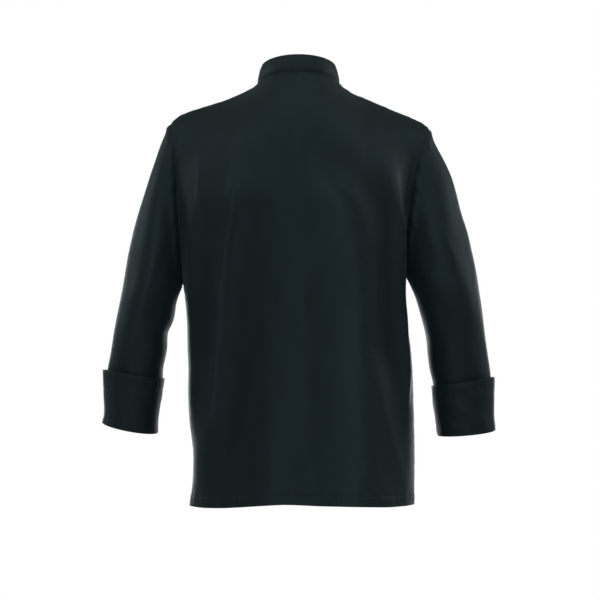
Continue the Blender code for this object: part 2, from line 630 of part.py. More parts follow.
def cloth_pieces():
    """Every piece that is a plain wall: its grid, whether its rows close, and a point inside it."""
    outer, under = front_grids()
    body, neck = Vector(BODY_CORE), Vector((0, 0, 0))
    grids = {
        "back": (body_grid(BACK, body_columns()), False, body),
        "front_left": (outer, False, body),
        "front_right": (under, False, body),
        "sleeve_left": (sleeve_grid(LEFT), True, sleeve_core(LEFT)),
        "sleeve_right": (sleeve_grid(RIGHT), True, sleeve_core(RIGHT)),
        "collar": (collar_grid(), False, neck),
    }
    pieces = {}
    for name, (grid, closed, core) in grids.items():
        pieces[name] = {"grid": grid, "closed": closed, "normals": grid_normals(grid, closed, core)}
    return pieces


def cloth_at(grid, across, height):
    """The point of a wall's outer skin that lies behind a place on the front, and the skin's normal there."""
    wanted = Vector((across, height))
    for row, below in zip(grid, grid[1:]):
        for j in range(len(row) - 1):
            for corners in ((row[j], row[j + 1], below[j + 1]), (row[j], below[j + 1], below[j])):
                a, b, c = (Vector((corner.x, corner.z)) for corner in corners)
                whole = (b - a).cross(c - a)
                shares = [(c - b).cross(wanted - b) / whole, (a - c).cross(wanted - c) / whole]
                shares.append(1 - sum(shares))
                if min(shares) >= 0:
                    point = sum((corner * share for corner, share in zip(corners, shares)), Vector((0, 0, 0)))
                    normal = (corners[1] - corners[0]).cross(corners[2] - corners[0]).normalized()
                    return point, normal if normal.y < 0 else -normal
    raise ValueError("no cloth there")


def add_buttons(front):
    """Two columns of buttons, each just clear of the highest cloth under it."""
    data = button_mesh()
    data.materials.append(material("button_plastic", BUTTON_COLOUR, BUTTON_ROUGHNESS))
    for side, word in ((LEFT, "left"), (RIGHT, "right")):
        for number in range(BUTTON_ROWS):
            across, height = side * BUTTON_ACROSS, BUTTON_TOP - BUTTON_STEP * number
            point, normal = cloth_at(front, across, height)
            lift = 0
            for k in range(BUTTON_SIDES):
                turn = 2 * math.pi * k / BUTTON_SIDES
                under, _ = cloth_at(front, across + BUTTON_RADIUS * math.cos(turn),
                                    height + BUTTON_RADIUS * math.sin(turn))
                lift = max(lift, (under - point).dot(normal))
            piece = bpy.data.objects.new(f"button_{word}_{number + 1}", data)
            piece.location = point + normal * (lift + BUTTON_CLEARANCE)
            piece.rotation_mode = "QUATERNION"
            piece.rotation_quaternion = Vector((0, 0, 1)).rotation_difference(normal)
            bpy.context.scene.collection.objects.link(piece)


def main():
    for old in list(bpy.data.objects):
        bpy.data.objects.remove(old, do_unlink=True)
    pieces = cloth_pieces()
    means = shared_normals(pieces)
    for name, piece in pieces.items():
        add(name, wall_mesh(name, piece, means), material(name + "_cloth", CLOTH_COLOUR, CLOTH_ROUGHNESS))
    for side, word in ((LEFT, "left"), (RIGHT, "right")):
        finish = material("cuff_" + word + "_cloth", CLOTH_COLOUR, CLOTH_ROUGHNESS)
        add("cuff_" + word, cuff_mesh(side), finish)
    add_buttons(pieces["front_left"]["grid"])


main()
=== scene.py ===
"""Looks of the chef jacket: cloth shells with folds, sewing, buttons, twill, light and camera.

Metres, +Z up. The jacket faces -Y, and the wearer's left is +X. The first tables and functions are
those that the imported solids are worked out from, so the shells lie on the solids' outer faces. Only
the hem's middle hangs a little lower, and under the wearer's right arm the side and the sleeve lie
a few millimetres further in.
"""

import math

import bmesh
import bpy
import numpy as np
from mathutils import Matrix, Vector

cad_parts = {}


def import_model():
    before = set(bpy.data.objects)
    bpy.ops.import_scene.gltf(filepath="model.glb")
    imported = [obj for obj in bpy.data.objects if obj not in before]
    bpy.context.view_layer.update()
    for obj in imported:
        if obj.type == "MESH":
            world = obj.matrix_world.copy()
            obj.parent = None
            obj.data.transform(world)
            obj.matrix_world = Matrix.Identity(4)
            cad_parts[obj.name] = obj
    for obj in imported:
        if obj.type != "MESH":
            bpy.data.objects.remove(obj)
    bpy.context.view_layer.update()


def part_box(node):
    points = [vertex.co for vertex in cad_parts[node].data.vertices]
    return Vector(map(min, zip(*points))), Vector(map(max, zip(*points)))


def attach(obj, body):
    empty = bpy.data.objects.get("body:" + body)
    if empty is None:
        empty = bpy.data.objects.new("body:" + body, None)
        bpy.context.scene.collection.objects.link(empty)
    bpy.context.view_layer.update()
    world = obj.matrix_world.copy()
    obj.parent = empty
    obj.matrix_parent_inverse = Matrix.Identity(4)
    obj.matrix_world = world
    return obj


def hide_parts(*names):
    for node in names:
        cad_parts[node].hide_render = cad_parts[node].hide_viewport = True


BACK, FRONT = 1, -1
LEFT, RIGHT = 1, -1
SIDE_WORDS = {LEFT: "left", RIGHT: "right"}
QUARTER = math.pi / 2

# ---- the body's cut
NECK_MIDDLE, NECK_FALL = 0.0025, 1.2       # across, and how the neckline falls towards the front
NECK_SEAM = {"half_width": 0.0725, "back": 0.066, "front": 0.075, "height": 0.001, "rise": 0.0185,
             "drop": 0.052}
COLLAR_TOP = {"half_width": 0.0665, "back": 0.058, "front": 0.069, "height": 0.030, "rise": 0.020,
              "drop": 0.047}
COLLAR_HALF_OPENING = math.radians(3)      # at the centre front
COLLAR_CORNER = 0.014                      # radius of the collar's front corners
SHOULDER = {                               # across, height of the shoulder seam
    LEFT: ((0.075, 0.001), (0.084, -0.0050), (0.100, -0.0130), (0.125, -0.0240), (0.155, -0.0343),
           (0.190, -0.0450), (0.2135, -0.0547), (0.228, -0.067)),
    RIGHT: ((0.070, 0.001), (0.089, -0.0125), (0.114, -0.0231), (0.139, -0.0338), (0.164, -0.0445),
            (0.1905, -0.0552), (0.2136, -0.0659), (0.228, -0.0765)),
}
UNDERARM = {LEFT: (0.2074, -0.352), RIGHT: (0.1825, -0.325)}       # across, height
ARMHOLE_HALF_WIDTH = 0.056                 # front to back
ARMHOLE_SCOOP = {LEFT: 0.0, RIGHT: -0.008}              # outwards, halfway down
SIDE = {                                   # height, half width at the side seam
    LEFT: ((-0.352, 0.2074), (-0.379, 0.2043), (-0.400, 0.2012), (-0.422, 0.1990), (-0.484, 0.1976),
           (-0.603, 0.1947), (-0.650, 0.1896), (-0.700, 0.1893), (-0.748, 0.1958)),
    RIGHT: ((-0.325, 0.1825), (-0.360, 0.1810), (-0.420, 0.1897), (-0.484, 0.1978),
            (-0.603, 0.2022), (-0.687, 0.2029), (-0.748, 0.1990)),
}
DEPTH = (                                  # height, centre back, centre front
    (-0.200, 0.130, 0.130), (-0.270, 0.130, 0.139), (-0.340, 0.127, 0.142), (-0.420, 0.122, 0.141),
    (-0.484, 0.119, 0.138), (-0.603, 0.121, 0.137), (-0.687, 0.126, 0.139), (-0.750, 0.131, 0.142),
)
HEM = {                                    # share of the way to the side seam, height
    BACK: ((-1, -0.7440), (-0.57, -0.7446), (-0.33, -0.7427), (-0.11, -0.7405), (0.08, -0.7383),
           (0.23, -0.7405), (0.40, -0.7437), (0.66, -0.7472), (1, -0.7465)),
    FRONT: ((-1, -0.7440), (-0.62, -0.7425), (-0.30, -0.7390), (0.05, -0.7375), (0.35, -0.7405),
            (0.70, -0.7450), (1, -0.7465)),
}
BODY_SQUARENESS, BODY_ROUNDING = 2.5, 0.45              # of its rings
EVENING = 0.050                            # height that a ring's half width is evened out over
SIDE_EXACT = 16                            # how close to the side the exact half width takes over
SLOPE_AT_NECK, SLOPE_AT_TIP = math.radians(46), math.radians(10)           # of the shoulders' cloth
SLOPE_REACH = 0.65                         # share of the half width that the slope changes over
ARMHOLE_DRAW = 0.5                         # share of it beyond which cloth follows the armhole
HANDLE = 0.5                               # of the curves that run over the shoulders
NECK_SHARE = 0.45                          # share of a panel's half width that meets the neck
LAP_SHARE = 0.30                           # share of it that each front passes the centre by

# ---- the sleeves' and cuffs' cut
SLEEVE_OUTER = {                           # height, outer edge across
    LEFT: ((-0.067, 0.228), (-0.078, 0.235), (-0.103, 0.2456), (-0.1335, 0.2563), (-0.167, 0.2688),
           (-0.203, 0.2795), (-0.2456, 0.2915), (-0.2937, 0.3044), (-0.349, 0.3140),
           (-0.390, 0.3220), (-0.436, 0.3310), (-0.484, 0.3400), (-0.505, 0.3435),
           (-0.560, 0.3460), (-0.620, 0.3475)),
    RIGHT: ((-0.0765, 0.228), (-0.090, 0.2335), (-0.112, 0.2439), (-0.144, 0.2600),
            (-0.176, 0.2730), (-0.2225, 0.2866), (-0.2617, 0.2985), (-0.2937, 0.3050),
            (-0.342, 0.3150), (-0.397, 0.3240), (-0.4557, 0.3310), (-0.518, 0.3400),
            (-0.560, 0.3425), (-0.620, 0.3440)),
}
SLEEVE_INNER = {                           # height, inner edge across
    LEFT: ((-0.352, 0.2074), (-0.372, 0.2155), (-0.392, 0.2225), (-0.422, 0.2270), (-0.441, 0.2345),
           (-0.470, 0.2367), (-0.504, 0.2439), (-0.523, 0.2450), (-0.550, 0.2500), (-0.593, 0.2555),
           (-0.625, 0.2570)),
    RIGHT: ((-0.325, 0.1825), (-0.344, 0.1903), (-0.3533, 0.1945), (-0.4076, 0.2150),
            (-0.4414, 0.2241), (-0.504, 0.2314), (-0.530, 0.2367), (-0.5874, 0.2435),
            (-0.630, 0.2490)),
}
SLEEVE_DEPTH = (                           # height, middle front to back, half depth
    (-0.330, 0.000, 0.071), (-0.370, -0.001, 0.069), (-0.420, -0.005, 0.061),
    (-0.505, -0.013, 0.050), (-0.620, -0.024, 0.0465),
)
RING_TILT = 0.008                          # how far a ring's outer side is tipped up
BICEP_BELOW_UNDERARM = 0.012               # where the cap ends and whole rings begin
CAP_LEAVES, CAP_ARRIVES = (0.62, 0.30, -0.72), (-0.16, 0, 0.98)            # out, back and up
CAP_HANDLE = 0.36                          # of the cap's curves, as a share of their length
CUFF = {
    LEFT: {"top": -0.515, "bottom": -0.6115,
           "top_tilt": 0.008, "bottom_tilt": 0.009, "dip": 0.005},
    RIGHT: {"top": -0.528, "bottom": -0.6205,
            "top_tilt": 0.008, "bottom_tilt": 0.0045, "dip": 0.003},
}
CUFF_OUTER = {                             # height, outer edge across
    LEFT: ((-0.507, 0.3524), (-0.550, 0.3512), (-0.585, 0.3505), (-0.6015, 0.3545)),
    RIGHT: ((-0.520, 0.3475), (-0.560, 0.3472), (-0.595, 0.3475), (-0.6155, 0.3500)),
}
CUFF_INNER = {                             # height, inner edge across
    LEFT: ((-0.523, 0.2415), (-0.550, 0.2460), (-0.593, 0.2525), (-0.6195, 0.2535)),
    RIGHT: ((-0.536, 0.2345), (-0.5625, 0.2368), (-0.5874, 0.2403), (-0.6245, 0.2455)),
}
CUFF_STAND_OFF = (0.0065, 0.0030)          # deeper than the sleeve, at its top and bottom

# ---- buttons
BUTTON_RADIUS, BUTTON_HEIGHT = 0.010, 0.0035
BUTTON_ROWS = 5
BUTTON_LIFT = 0.0010                       # off the cloth under it, on its thread
BUTTON_SIDES, BUTTON_RINGS = 48, 16
BUTTON_RIM = (                             # shares of its radius and height, from below
    (0.60, 0.0), (0.86, 0.0), (0.97, 0.16), (1.0, 0.42), (0.985, 0.66), (0.95, 0.86), (0.90, 0.985),
    (0.84, 0.985),
)
BUTTON_FACE, BUTTON_FACE_HEIGHT = 0.78, 0.97            # shares, inside the rim
BUTTON_DISH = 0.76                         # height of the dished middle, as a share
BUTTON_DISH_EDGE, BUTTON_DISH_RISE = 0.52, 0.26         # shares of the radius
BUTTON_HOLES = ((0.0016, 0.0016), (-0.0016, 0.0016), (-0.0016, -0.0016), (0.0016, -0.0016))
BUTTON_HOLE, BUTTON_HOLE_DEPTH = 0.0009, 0.0014
BUTTON_HOLE_WALL, BUTTON_HOLE_START = 0.55, 0.35        # how its wall runs down, as shares
BUTTON_THREAD, BUTTON_THREAD_POINTS = 0.00022, 7
BUTTON_THREAD_LANES = (-2.25, -0.75, 0.75, 2.25)        # in thread radii, beside one another
BUTTON_THREAD_DIP = 0.0010                 # into the holes
BUTTONHOLE, BUTTONHOLE_PITCH = 0.024, 0.0006            # length, and space between its stitches
BUTTONHOLE_EDGE = ((0.0002, 0.2), (0.0009, 1.0), (0.0017, 0.0))            # away, rise in radii
BUTTONHOLE_BAR = ((-0.0007, 0.0), (0.0, 1.2), (0.0007, 0.0))               # of the bars at its ends
BUTTONHOLE_BAR_HALF, BUTTONHOLE_THREAD = 0.0016, 0.8    # half length, and radius as a share
BUTTONHOLE_OFFSET = 0.007                  # its middle lies this far towards the front edge

# ---- cloth
CLOTH, HEM_CLOTH = 0.0011, 0.00088         # thickness of one layer, and of a hem's inner one
DOUBLED = 0.0020                           # of the collar and the turned-back cuffs
RIM_SHARE, RIM_ANGLE = 0.45, math.radians(60)           # bevel of a shell's rim
BODY_SEAMS = {
    "back": ("top", "start", "end"), "front_left": ("top", "end"), "front_right": ("top", "start"),
}
LAP_DEPTH = 0.0024                         # how far the under front lies behind the outer one
LAP_SINK_FROM, LAP_SINK_OVER = LAP_SHARE + 0.10, 0.07   # shares of the half width
LAYER_GAP, CUFF_GAP = 0.0002, 0.0006       # inside the hem, and between sleeve and cuff
STEP, LEAST_STEPS = 0.0032, 4              # distance between points of a shell
STEP_CLEARANCE = 0.4                       # share of it that extra points keep from the others
HALF_COLUMNS = 40                          # of the body, and its rows, before it is refined
TOP_ROWS, ARMHOLE_ROWS, SKIRT_ROWS = 26, 22, 56
CAP_ROWS, SLEEVE_ROWS, ROUND_COLUMNS = 30, 50, 128      # of the sleeves
CUFF_ROWS, CUFF_FOLD_ROWS, CUFF_FADE_ROWS = 31, 9, 5
COLLAR_ROWS = 19
TABLE_STEPS, EDGE_STEPS = 240, 400         # places read from a table, and from an edge
RING_STEPS, EVENING_STEPS = 500, 3
RINGS_FROM, RINGS_BELOW_TIP = -0.80, 0.004              # heights that rings are worked out between
CHEST_HALF_WIDTH, CHEST_HALF_DEPTH = 0.2, 0.125         # of the ring that spaces the body's columns
BODY_MIDDLE, ARM_MIDDLE = (0, 0, -0.4), (0.28, 0, -0.35)                   # inside the cloth
SOFTEN_ROUNDS, SOFT_STRENGTH = 8, 0.8      # these even out where the tables' curves meet
SOFT_DOWN_TO, SOFT_FADES_OVER = 2.6, 0.6   # in rows' places: 2 is the underarm, 3 the hem
NECK_SOFTEN_ROUNDS, NECK_SOFT_REACH = 70, 0.22          # and these where neck and shoulder meet
SEAM_ROLL = {                              # how deep cloth turns in at a seam, and its reach
    "body": (0.0012, 0.0034), "armhole": (0.0016, 0.0045), "neck": (0.0008, 0.0025),
}
SEAM_SWELL, SEAM_SWELL_REACH, SEAM_SHARPNESS = 0.75, 0.022, 1.5            # beside the seam
GROOVE = {                                 # the same of the line that stitching presses in
    "body": (0.00035, 0.0011), "cuff": (0.0003, 0.0016), "collar": (0.0003, 0.0012),
}
SEAM_ROWS = (0.0008, 0.0017, 0.0028, 0.0042)            # extra points beside the body's seams
ARMHOLE_SEAM_ROWS = (0.0009, 0.0018, 0.0028, 0.004, 0.0055, 0.0075)        # a sleeve's seam
COLLAR_EDGE_ROWS = (0.0012, -0.0012)       # the collar's front edges
GROOVE_ROWS = (-0.0018, -0.0009, 0.0, 0.0009, 0.0018)   # and the hem's stitching
GATHER_PITCHES = (1.0, 0.63, 1.71)         # shares of the space between gathers that run together
HEM_DEPTH = 0.021                          # height of the turned-up hem
HEM_STITCH = 0.0185                        # its stitching, above the edge
HEM_LIFT, HEM_STEP = 0.0006, 0.0016        # how far the doubled hem stands out; over what length
EDGE_STITCH = 0.006                        # stitching beside the front edge
EDGE_ROWS = [0.0050, 0.0060, 0.0070, -0.0050, -0.0060, -0.0070]            # extra points beside it
COLLAR_STITCH, COLLAR_FOOT_STITCH = 0.0045, 0.0035      # stitching inside the collar's top and seam
COLLAR_CROWN = 0.0012                      # how much its middle stands out
CAP_SWELL = 0.0012                         # of a sleeve, this far below its seam
CAP_SWELL_PLACE, CAP_SWELL_REACH = 0.012, 0.008
CUFF_STITCHES = (0.0125, 0.083)            # the cuff's two rows, below its top edge
SLEEVE_END = 0.004                         # of the sleeve above its cuff's bottom edge
CUFF_FOLD_STARTS = 0.97                    # share of the band where its fold begins
CUFF_FOLD_DROP, CUFF_TURN_IN = 0.0042, 0.030            # below it, and up inside the sleeve
# creases and dents of the cuffs: turn in degrees, distance below the top, half width, half height,
# lift and slant
CUFF_DENTS = {
    LEFT: ((120, 0.040, 0.010, 0.030, -0.0009, 0.45), (60, 0.060, 0.014, 0.030, 0.0007, 0.45),
           (86, 0.031, 0.016, 0.008, 0.0009, -3.0), (95, 0.070, 0.016, 0.009, 0.0008, 2.6),
           (60, 0.050, 0.012, 0.010, -0.0008, -2.0), (200, 0.045, 0.009, 0.020, 0.0010, 1.2)),
    RIGHT: ((98, 0.046, 0.011, 0.017, 0.0026, -1.7), (84, 0.026, 0.011, 0.013, -0.0014, -1.7),
            (70, 0.017, 0.013, 0.009, 0.0016, -2.4), (64, 0.068, 0.010, 0.012, 0.0016, -1.2),
            (112, 0.066, 0.010, 0.016, -0.0010, -1.5), (200, 0.045, 0.009, 0.020, 0.0010, 1.2)),
}
GATHERS = {                                # place beside it, height, pitch, reach, seed
    "top seam": (0.007, 0.0005, 0.023, 0.009, 21),
    "side seam": (0.007, 0.00022, 0.023, 0.009, 21),
    "hem stitching": (HEM_STITCH, 0.0005, 0.022, 0.011, 31),
    "hem": (0, 0.0011, 0.085, 0.035, 33),
    "front edge": (EDGE_STITCH, 0.0005, 0.024, 0.010, 37),
    "armhole": (0.008, 0.0011, 0.027, 0.012, 51),
    "cuff": (0, 0.0005, 0.023, 0.009, 61),
    "neck": (0.004, 0.0004, 0.017, 0.007, 71),
    "collar": (COLLAR_STITCH, 0.0003, 0.021, 0.007, 72),
}
STITCH, STITCH_GAP, THREAD = 0.0026, 0.0007, 0.00022    # length, space between, radius
STITCH_PLACES, STITCH_RISES = (0.0, 0.2, 0.8, 1.0), (-0.8, 0.5, 0.5, -0.8)      # of one stitch
STITCH_TRIM = 0.004                        # of the front edge's row at both ends
THREAD_SIDES = 5
SEAM_ALLOWANCE = 0.010                     # cut beyond each seam
CUT_MARGIN = 1.04                          # area with its allowances, over the area between seams
COLLAR_TUCK = 1.3                          # lean of the allowance inside the collar's seam
ALLOWANCE_ROWS = (0.0050, 0.0028, 0.0010)  # how deep the allowance goes behind its seam

# ---- folds of the body: half widths towards the wearer's right and left, lift, and the heights
# and places that each passes through
FOLDS = {
    BACK: (
        # the large ones, near those of the solids
        ((0.024, 0.020), 0.0056, ((-0.120, 0.110), (-0.233, 0.120), (-0.317, 0.132),
                                  (-0.409, 0.142), (-0.561, 0.154), (-0.662, 0.173))),
        ((0.020, 0.020), 0.0020, ((-0.520, 0.150), (-0.626, 0.166), (-0.860, 0.204))),
        ((0.050, 0.028), -0.0090, ((-0.160, 0.088), (-0.300, 0.106), (-0.435, 0.118),
                                   (-0.560, 0.127), (-0.860, 0.148))),
        ((0.040, 0.036), 0.0100, ((-0.125, -0.036), (-0.180, -0.060), (-0.235, -0.088),
                                  (-0.332, -0.107), (-0.487, -0.108), (-0.600, -0.112),
                                  (-0.860, -0.125))),
        ((0.030, 0.030), -0.0012, ((-0.180, -0.020), (-0.420, -0.030), (-0.760, -0.040))),
        ((0.018, 0.026), -0.0032, ((-0.150, -0.140), (-0.300, -0.146), (-0.430, -0.150),
                                   (-0.560, -0.160))),
        ((0.022, 0.018), 0.0036, ((-0.460, -0.128), (-0.560, -0.143), (-0.643, -0.165),
                                  (-0.760, -0.195), (-0.860, -0.215))),
        ((0.014, 0.014), 0.0026, ((-0.090, -0.145), (-0.220, -0.168), (-0.400, -0.184))),
        ((0.018, 0.012), 0.0058, ((-0.175, 0.184), (-0.250, 0.188), (-0.420, 0.188),
                                  (-0.640, 0.186))),
        # the crisp crests and small hollows on them
        ((0.0060, 0.0060), 0.0028, ((-0.130, 0.111), (-0.171, 0.1146), (-0.233, 0.120),
                                    (-0.317, 0.132), (-0.409, 0.1424), (-0.485, 0.1476),
                                    (-0.561, 0.154), (-0.662, 0.1737))),
        ((0.020, 0.018), -0.0018, ((-0.180, 0.160), (-0.300, 0.168), (-0.420, 0.174),
                                   (-0.540, 0.180))),
        ((0.034, 0.024), -0.0054, ((-0.430, 0.114), (-0.560, 0.122), (-0.660, 0.128),
                                   (-0.860, 0.136))),
        ((0.016, 0.016), 0.0012, ((-0.230, -0.004), (-0.400, -0.009), (-0.620, -0.012))),
        ((0.007, 0.009), 0.0008, ((-0.500, -0.131), (-0.577, -0.147), (-0.643, -0.165),
                                  (-0.700, -0.182), (-0.780, -0.205))),
        ((0.004, 0.006), 0.0011, ((-0.110, -0.158), (-0.140, -0.165), (-0.179, -0.173),
                                  (-0.260, -0.181))),
        ((0.006, 0.013), 0.0110, ((-0.190, -0.172), (-0.240, -0.175), (-0.301, -0.174),
                                  (-0.360, -0.174), (-0.420, -0.179), (-0.590, -0.190))),
        ((0.006, 0.005), -0.0016, ((-0.100, -0.208), (-0.133, -0.201), (-0.180, -0.194),
                                   (-0.250, -0.188))),
        ((0.006, 0.006), 0.0013, ((-0.080, -0.224), (-0.110, -0.217), (-0.150, -0.210),
                                  (-0.210, -0.200))),
        ((0.005, 0.004), 0.0014, ((-0.110, 0.176), (-0.157, 0.177), (-0.202, 0.178),
                                  (-0.270, 0.182))),
        ((0.005, 0.004), 0.0014, ((-0.120, 0.210), (-0.166, 0.212), (-0.209, 0.212),
                                  (-0.290, 0.207))),
        ((0.012, 0.012), 0.0010, ((-0.560, 0.050), (-0.650, 0.045), (-0.790, 0.042))),
        ((0.014, 0.014), -0.0006, ((-0.580, 0.010), (-0.680, 0.004), (-0.790, 0.000))),
    ),
    FRONT: (
        # the large ones, near those of the solids
        ((0.026, 0.018), 0.0062, ((-0.150, 0.125), (-0.400, 0.140), (-0.860, 0.155))),
        ((0.016, 0.026), 0.0065, ((-0.130, -0.130), (-0.400, -0.135), (-0.860, -0.165))),
        ((0.028, 0.024), -0.0042, ((-0.280, 0.060), (-0.520, 0.095), (-0.860, 0.110))),
        ((0.016, 0.016), 0.0042, ((-0.280, -0.168), (-0.520, -0.172), (-0.860, -0.188))),
        # the crisp crests and small hollows on them
        ((0.008, 0.006), 0.0018, ((-0.110, 0.155), (-0.220, 0.168), (-0.340, 0.188))),
        ((0.006, 0.008), 0.0018, ((-0.110, -0.162), (-0.220, -0.172), (-0.330, -0.184))),
        ((0.012, 0.006), 0.0020, ((-0.300, 0.152), (-0.430, 0.144), (-0.560, 0.142),
                                  (-0.790, 0.150))),
        ((0.009, 0.012), -0.0018, ((-0.300, -0.108), (-0.500, -0.112), (-0.760, -0.135))),
        ((0.006, 0.012), 0.0016, ((-0.280, -0.128), (-0.450, -0.136), (-0.600, -0.146),
                                  (-0.790, -0.160))),
        ((0.013, 0.013), 0.0014, ((-0.560, -0.060), (-0.660, -0.070), (-0.790, -0.078))),
        ((0.011, 0.011), 0.0014, ((-0.540, 0.030), (-0.650, 0.040), (-0.790, 0.046))),
    ),
}
FOLD_RUN_OUT = 0.09                        # height over which a fold's end fades out
CALM_SIDE, CALM_TOP = 0.10, 0.4            # shares of a panel where folds fade towards its edges
WORN_ALL_OVER, FOLD_HIGHLIGHT_MOST = 0.25, 0.95      # wear of smooth cloth, which fold hollows lose as painted shade, and the most painted highlight that a crest adds
FOLD_HIGHLIGHT_LIFT = 0.009                          # lift of a crest that has the whole painted highlight
WORN_EDGE, WORN_EDGE_REACH, WORN_FOLD_REACH = 0.5, 0.0022, 0.004
# slow waves that keep large panels from being perfectly smooth: length, height
SWELLS = ((0.110, 0.0007), (0.062, 0.0004), (0.034, 0.0002))
SWELL_WAVES, SWELL_TURN = 4, 0.6           # of each length, and how far they may turn from upright
SWELL_BEND, SWELL_BEND_LENGTH = 0.35, 2.7  # how much they wind, and over how many lengths
BODY_SEED, SLEEVE_SEED = 11, 41

# ---- folds of the sleeves: half widths at smaller and larger turns, lift, and the heights and the
# turns in degrees that each passes through
SLEEVE_FOLDS = {
    LEFT: (
        ((0.034, 0.014), 0.0040, ((-0.160, 114), (-0.300, 92), (-0.420, 74), (-0.510, 62))),
        ((0.014, 0.014), -0.0028, ((-0.130, 152), (-0.220, 148), (-0.320, 148), (-0.400, 158))),
        ((0.022, 0.022), 0.0030, ((-0.350, 170), (-0.420, 200), (-0.470, 225))),
        ((0.018, 0.018), -0.0035, ((-0.400, 190), (-0.455, 160), (-0.490, 130))),
        ((0.022, 0.016), -0.0026, ((-0.330, 128), (-0.400, 112), (-0.480, 96))),
        ((0.010, 0.006), 0.0012, ((-0.420, 140), (-0.455, 118), (-0.490, 104))),
        ((0.026, 0.026), -0.0035, ((-0.160, 300), (-0.250, 290), (-0.340, 270))),
        ((0.022, 0.022), 0.0035, ((-0.380, 260), (-0.440, 280), (-0.520, 300))),
    ),
    RIGHT: (
        ((0.030, 0.016), 0.0036, ((-0.170, 108), (-0.300, 84), (-0.400, 60), (-0.480, 48))),
        ((0.007, 0.006), 0.0014, ((-0.205, 94), (-0.240, 83), (-0.317, 67), (-0.360, 57))),
        ((0.014, 0.014), -0.0026, ((-0.130, 152), (-0.220, 148), (-0.310, 148), (-0.400, 158))),
        ((0.022, 0.022), 0.0030, ((-0.370, 170), (-0.440, 200), (-0.490, 225))),
        ((0.018, 0.018), -0.0035, ((-0.420, 190), (-0.475, 160), (-0.510, 130))),
        ((0.024, 0.018), -0.0026, ((-0.320, 128), (-0.410, 108), (-0.490, 90))),
        ((0.010, 0.006), 0.0012, ((-0.430, 140), (-0.470, 116), (-0.510, 100))),
        ((0.026, 0.026), -0.0035, ((-0.180, 300), (-0.270, 290), (-0.360, 270))),
        ((0.022, 0.022), 0.0035, ((-0.400, 260), (-0.460, 280), (-0.540, 300))),
    ),
}
SLEEVE_RADIUS, CUFF_RADIUS = 0.058, 0.052  # turn a place round an arm into a distance
SLEEVE_CALM_TOP, SLEEVE_CALM_REACH = 0.012, 0.05        # folds fade in below the seam
SLEEVE_CALM_END, SLEEVE_CALM_END_REACH = 0.05, 0.06     # and the same above the sleeve's end

# ---- colours, light and view
DYE = (0.0055, 0.0085, 0.0096, 1)
THREAD_DYE = (0.0070, 0.0112, 0.0122, 1)
BUTTON_BLACK = (0.010, 0.012, 0.013, 1)
SHEEN_TINT = (0.48, 0.86, 0.92, 1)
GLEAM_TINT = (0.53, 0.90, 1.0, 1)          # the cloth's highlights keep its teal
FLOOR_PALE = (0.90, 0.90, 0.90, 1)
FLOOR_HEIGHT, FLOOR_RADIUS = -1.45, 4.5    # a worn jacket hangs this far above the floor
FLOOR_MIDDLE, FLOOR_RINGS, FLOOR_SIDES = 0.2, 12, 96
FLOOR_SHADE, FLOOR_NOISE = 0.98, (40.0, 3.0)            # of its darker spots; scale and detail
FLOOR_ROUGHNESS, FLOOR_SPECULAR = 0.9, 0.2
CLOTH_ROUGHNESS, CLOTH_SPECULAR = 0.61, 0.22
CLOTH_POLISH, RIB_POLISH = 0.10, 0.08      # smoothness gained where worn, and on the ribs' tops
SHEEN, SHEEN_ROUGHNESS = 0.080, 0.45
RIB, SLUBS = 0.0006, 0.3                   # from rib to rib, and the yarns' unevenness
TWILL_SLOPE, TWILL_FLOATS = 0.55, 0.6      # along over across, and steps for each rib
TWILL_DRIFT, DRIFT_NOISE = 2.5, (60.0, 2.0)             # strength; scale and detail
RIB_SHARE, STEP_SHARE = 0.36, 0.14         # of the ribs and of their steps in the weave's height
YARN_GRAIN = (1400.0, 90.0, 1.0)
WEAVE_SHADE = (0.82, 1.12)                 # painted shade of the dye between the ribs and painted light on them, with the yarns' unevenness
WEAVE_BUMP, WEAVE_DEPTH = 0.5, 0.00008
CLOUDS, THREAD_CLOUDS, BUTTON_CLOUDS = 0.08, 0.12, 0.10
BROAD_CLOUDS, FINE_SPECKS = (9.0, 3.0), (160.0, 2.0)    # scales and details
CLOUD_SHARES, CLOUD_SPREAD = (0.7, 0.3), 4.0            # of broad and fine; round the middle tone
SCUFFS, SCUFF_RANGE = 0.7, (0.35, 0.70)    # least fading, and between which fine noise it grows
LINT, LINT_RANGE = 0.03, (0.2, 0.8)        # roughness, and the fine noise that it follows
CLOTHS = {                                 # name, clouds, fading where worn and where the folds carry painted light and shade, tone
    "body": ("jacket twill", CLOUDS, 1.0, 1.0),
    "hem": ("hem inside", 0.06, 0.8, 1.0),
    "sleeve": ("sleeve twill", 0.09, 1.0, 1.0),
    "collar": ("collar twill", 0.06, 1.0, 1.0),
    # the cuffs' copy of the same twill is toned darker as painted shade
    "cuff": ("cuff twill", 0.06, 1.0, 0.94),
}
THREAD_ROUGHNESS, THREAD_SPECULAR = 0.6, 0.15
TWIST, TWIST_POLISH, TWIST_BUMP, TWIST_DEPTH = 900.0, 0.1, 0.5, 0.00006
BUTTON_ROUGHNESS, BUTTON_SPECULAR = (0.36, 0.50), 0.30
FLOW_GRAIN, SCRATCH_RANGE = (3000.0, 3000.0, 500.0), (0.3, 0.75)
SCRATCH_BUMP, SCRATCH_DEPTH = 0.15, 0.00003
CAMERA_DISTANCE, CAMERA_HEIGHT = 5.0, -0.3827
FRAME_WIDTH = 1.068                        # what the square frame shows at the jacket
SENSOR = 36
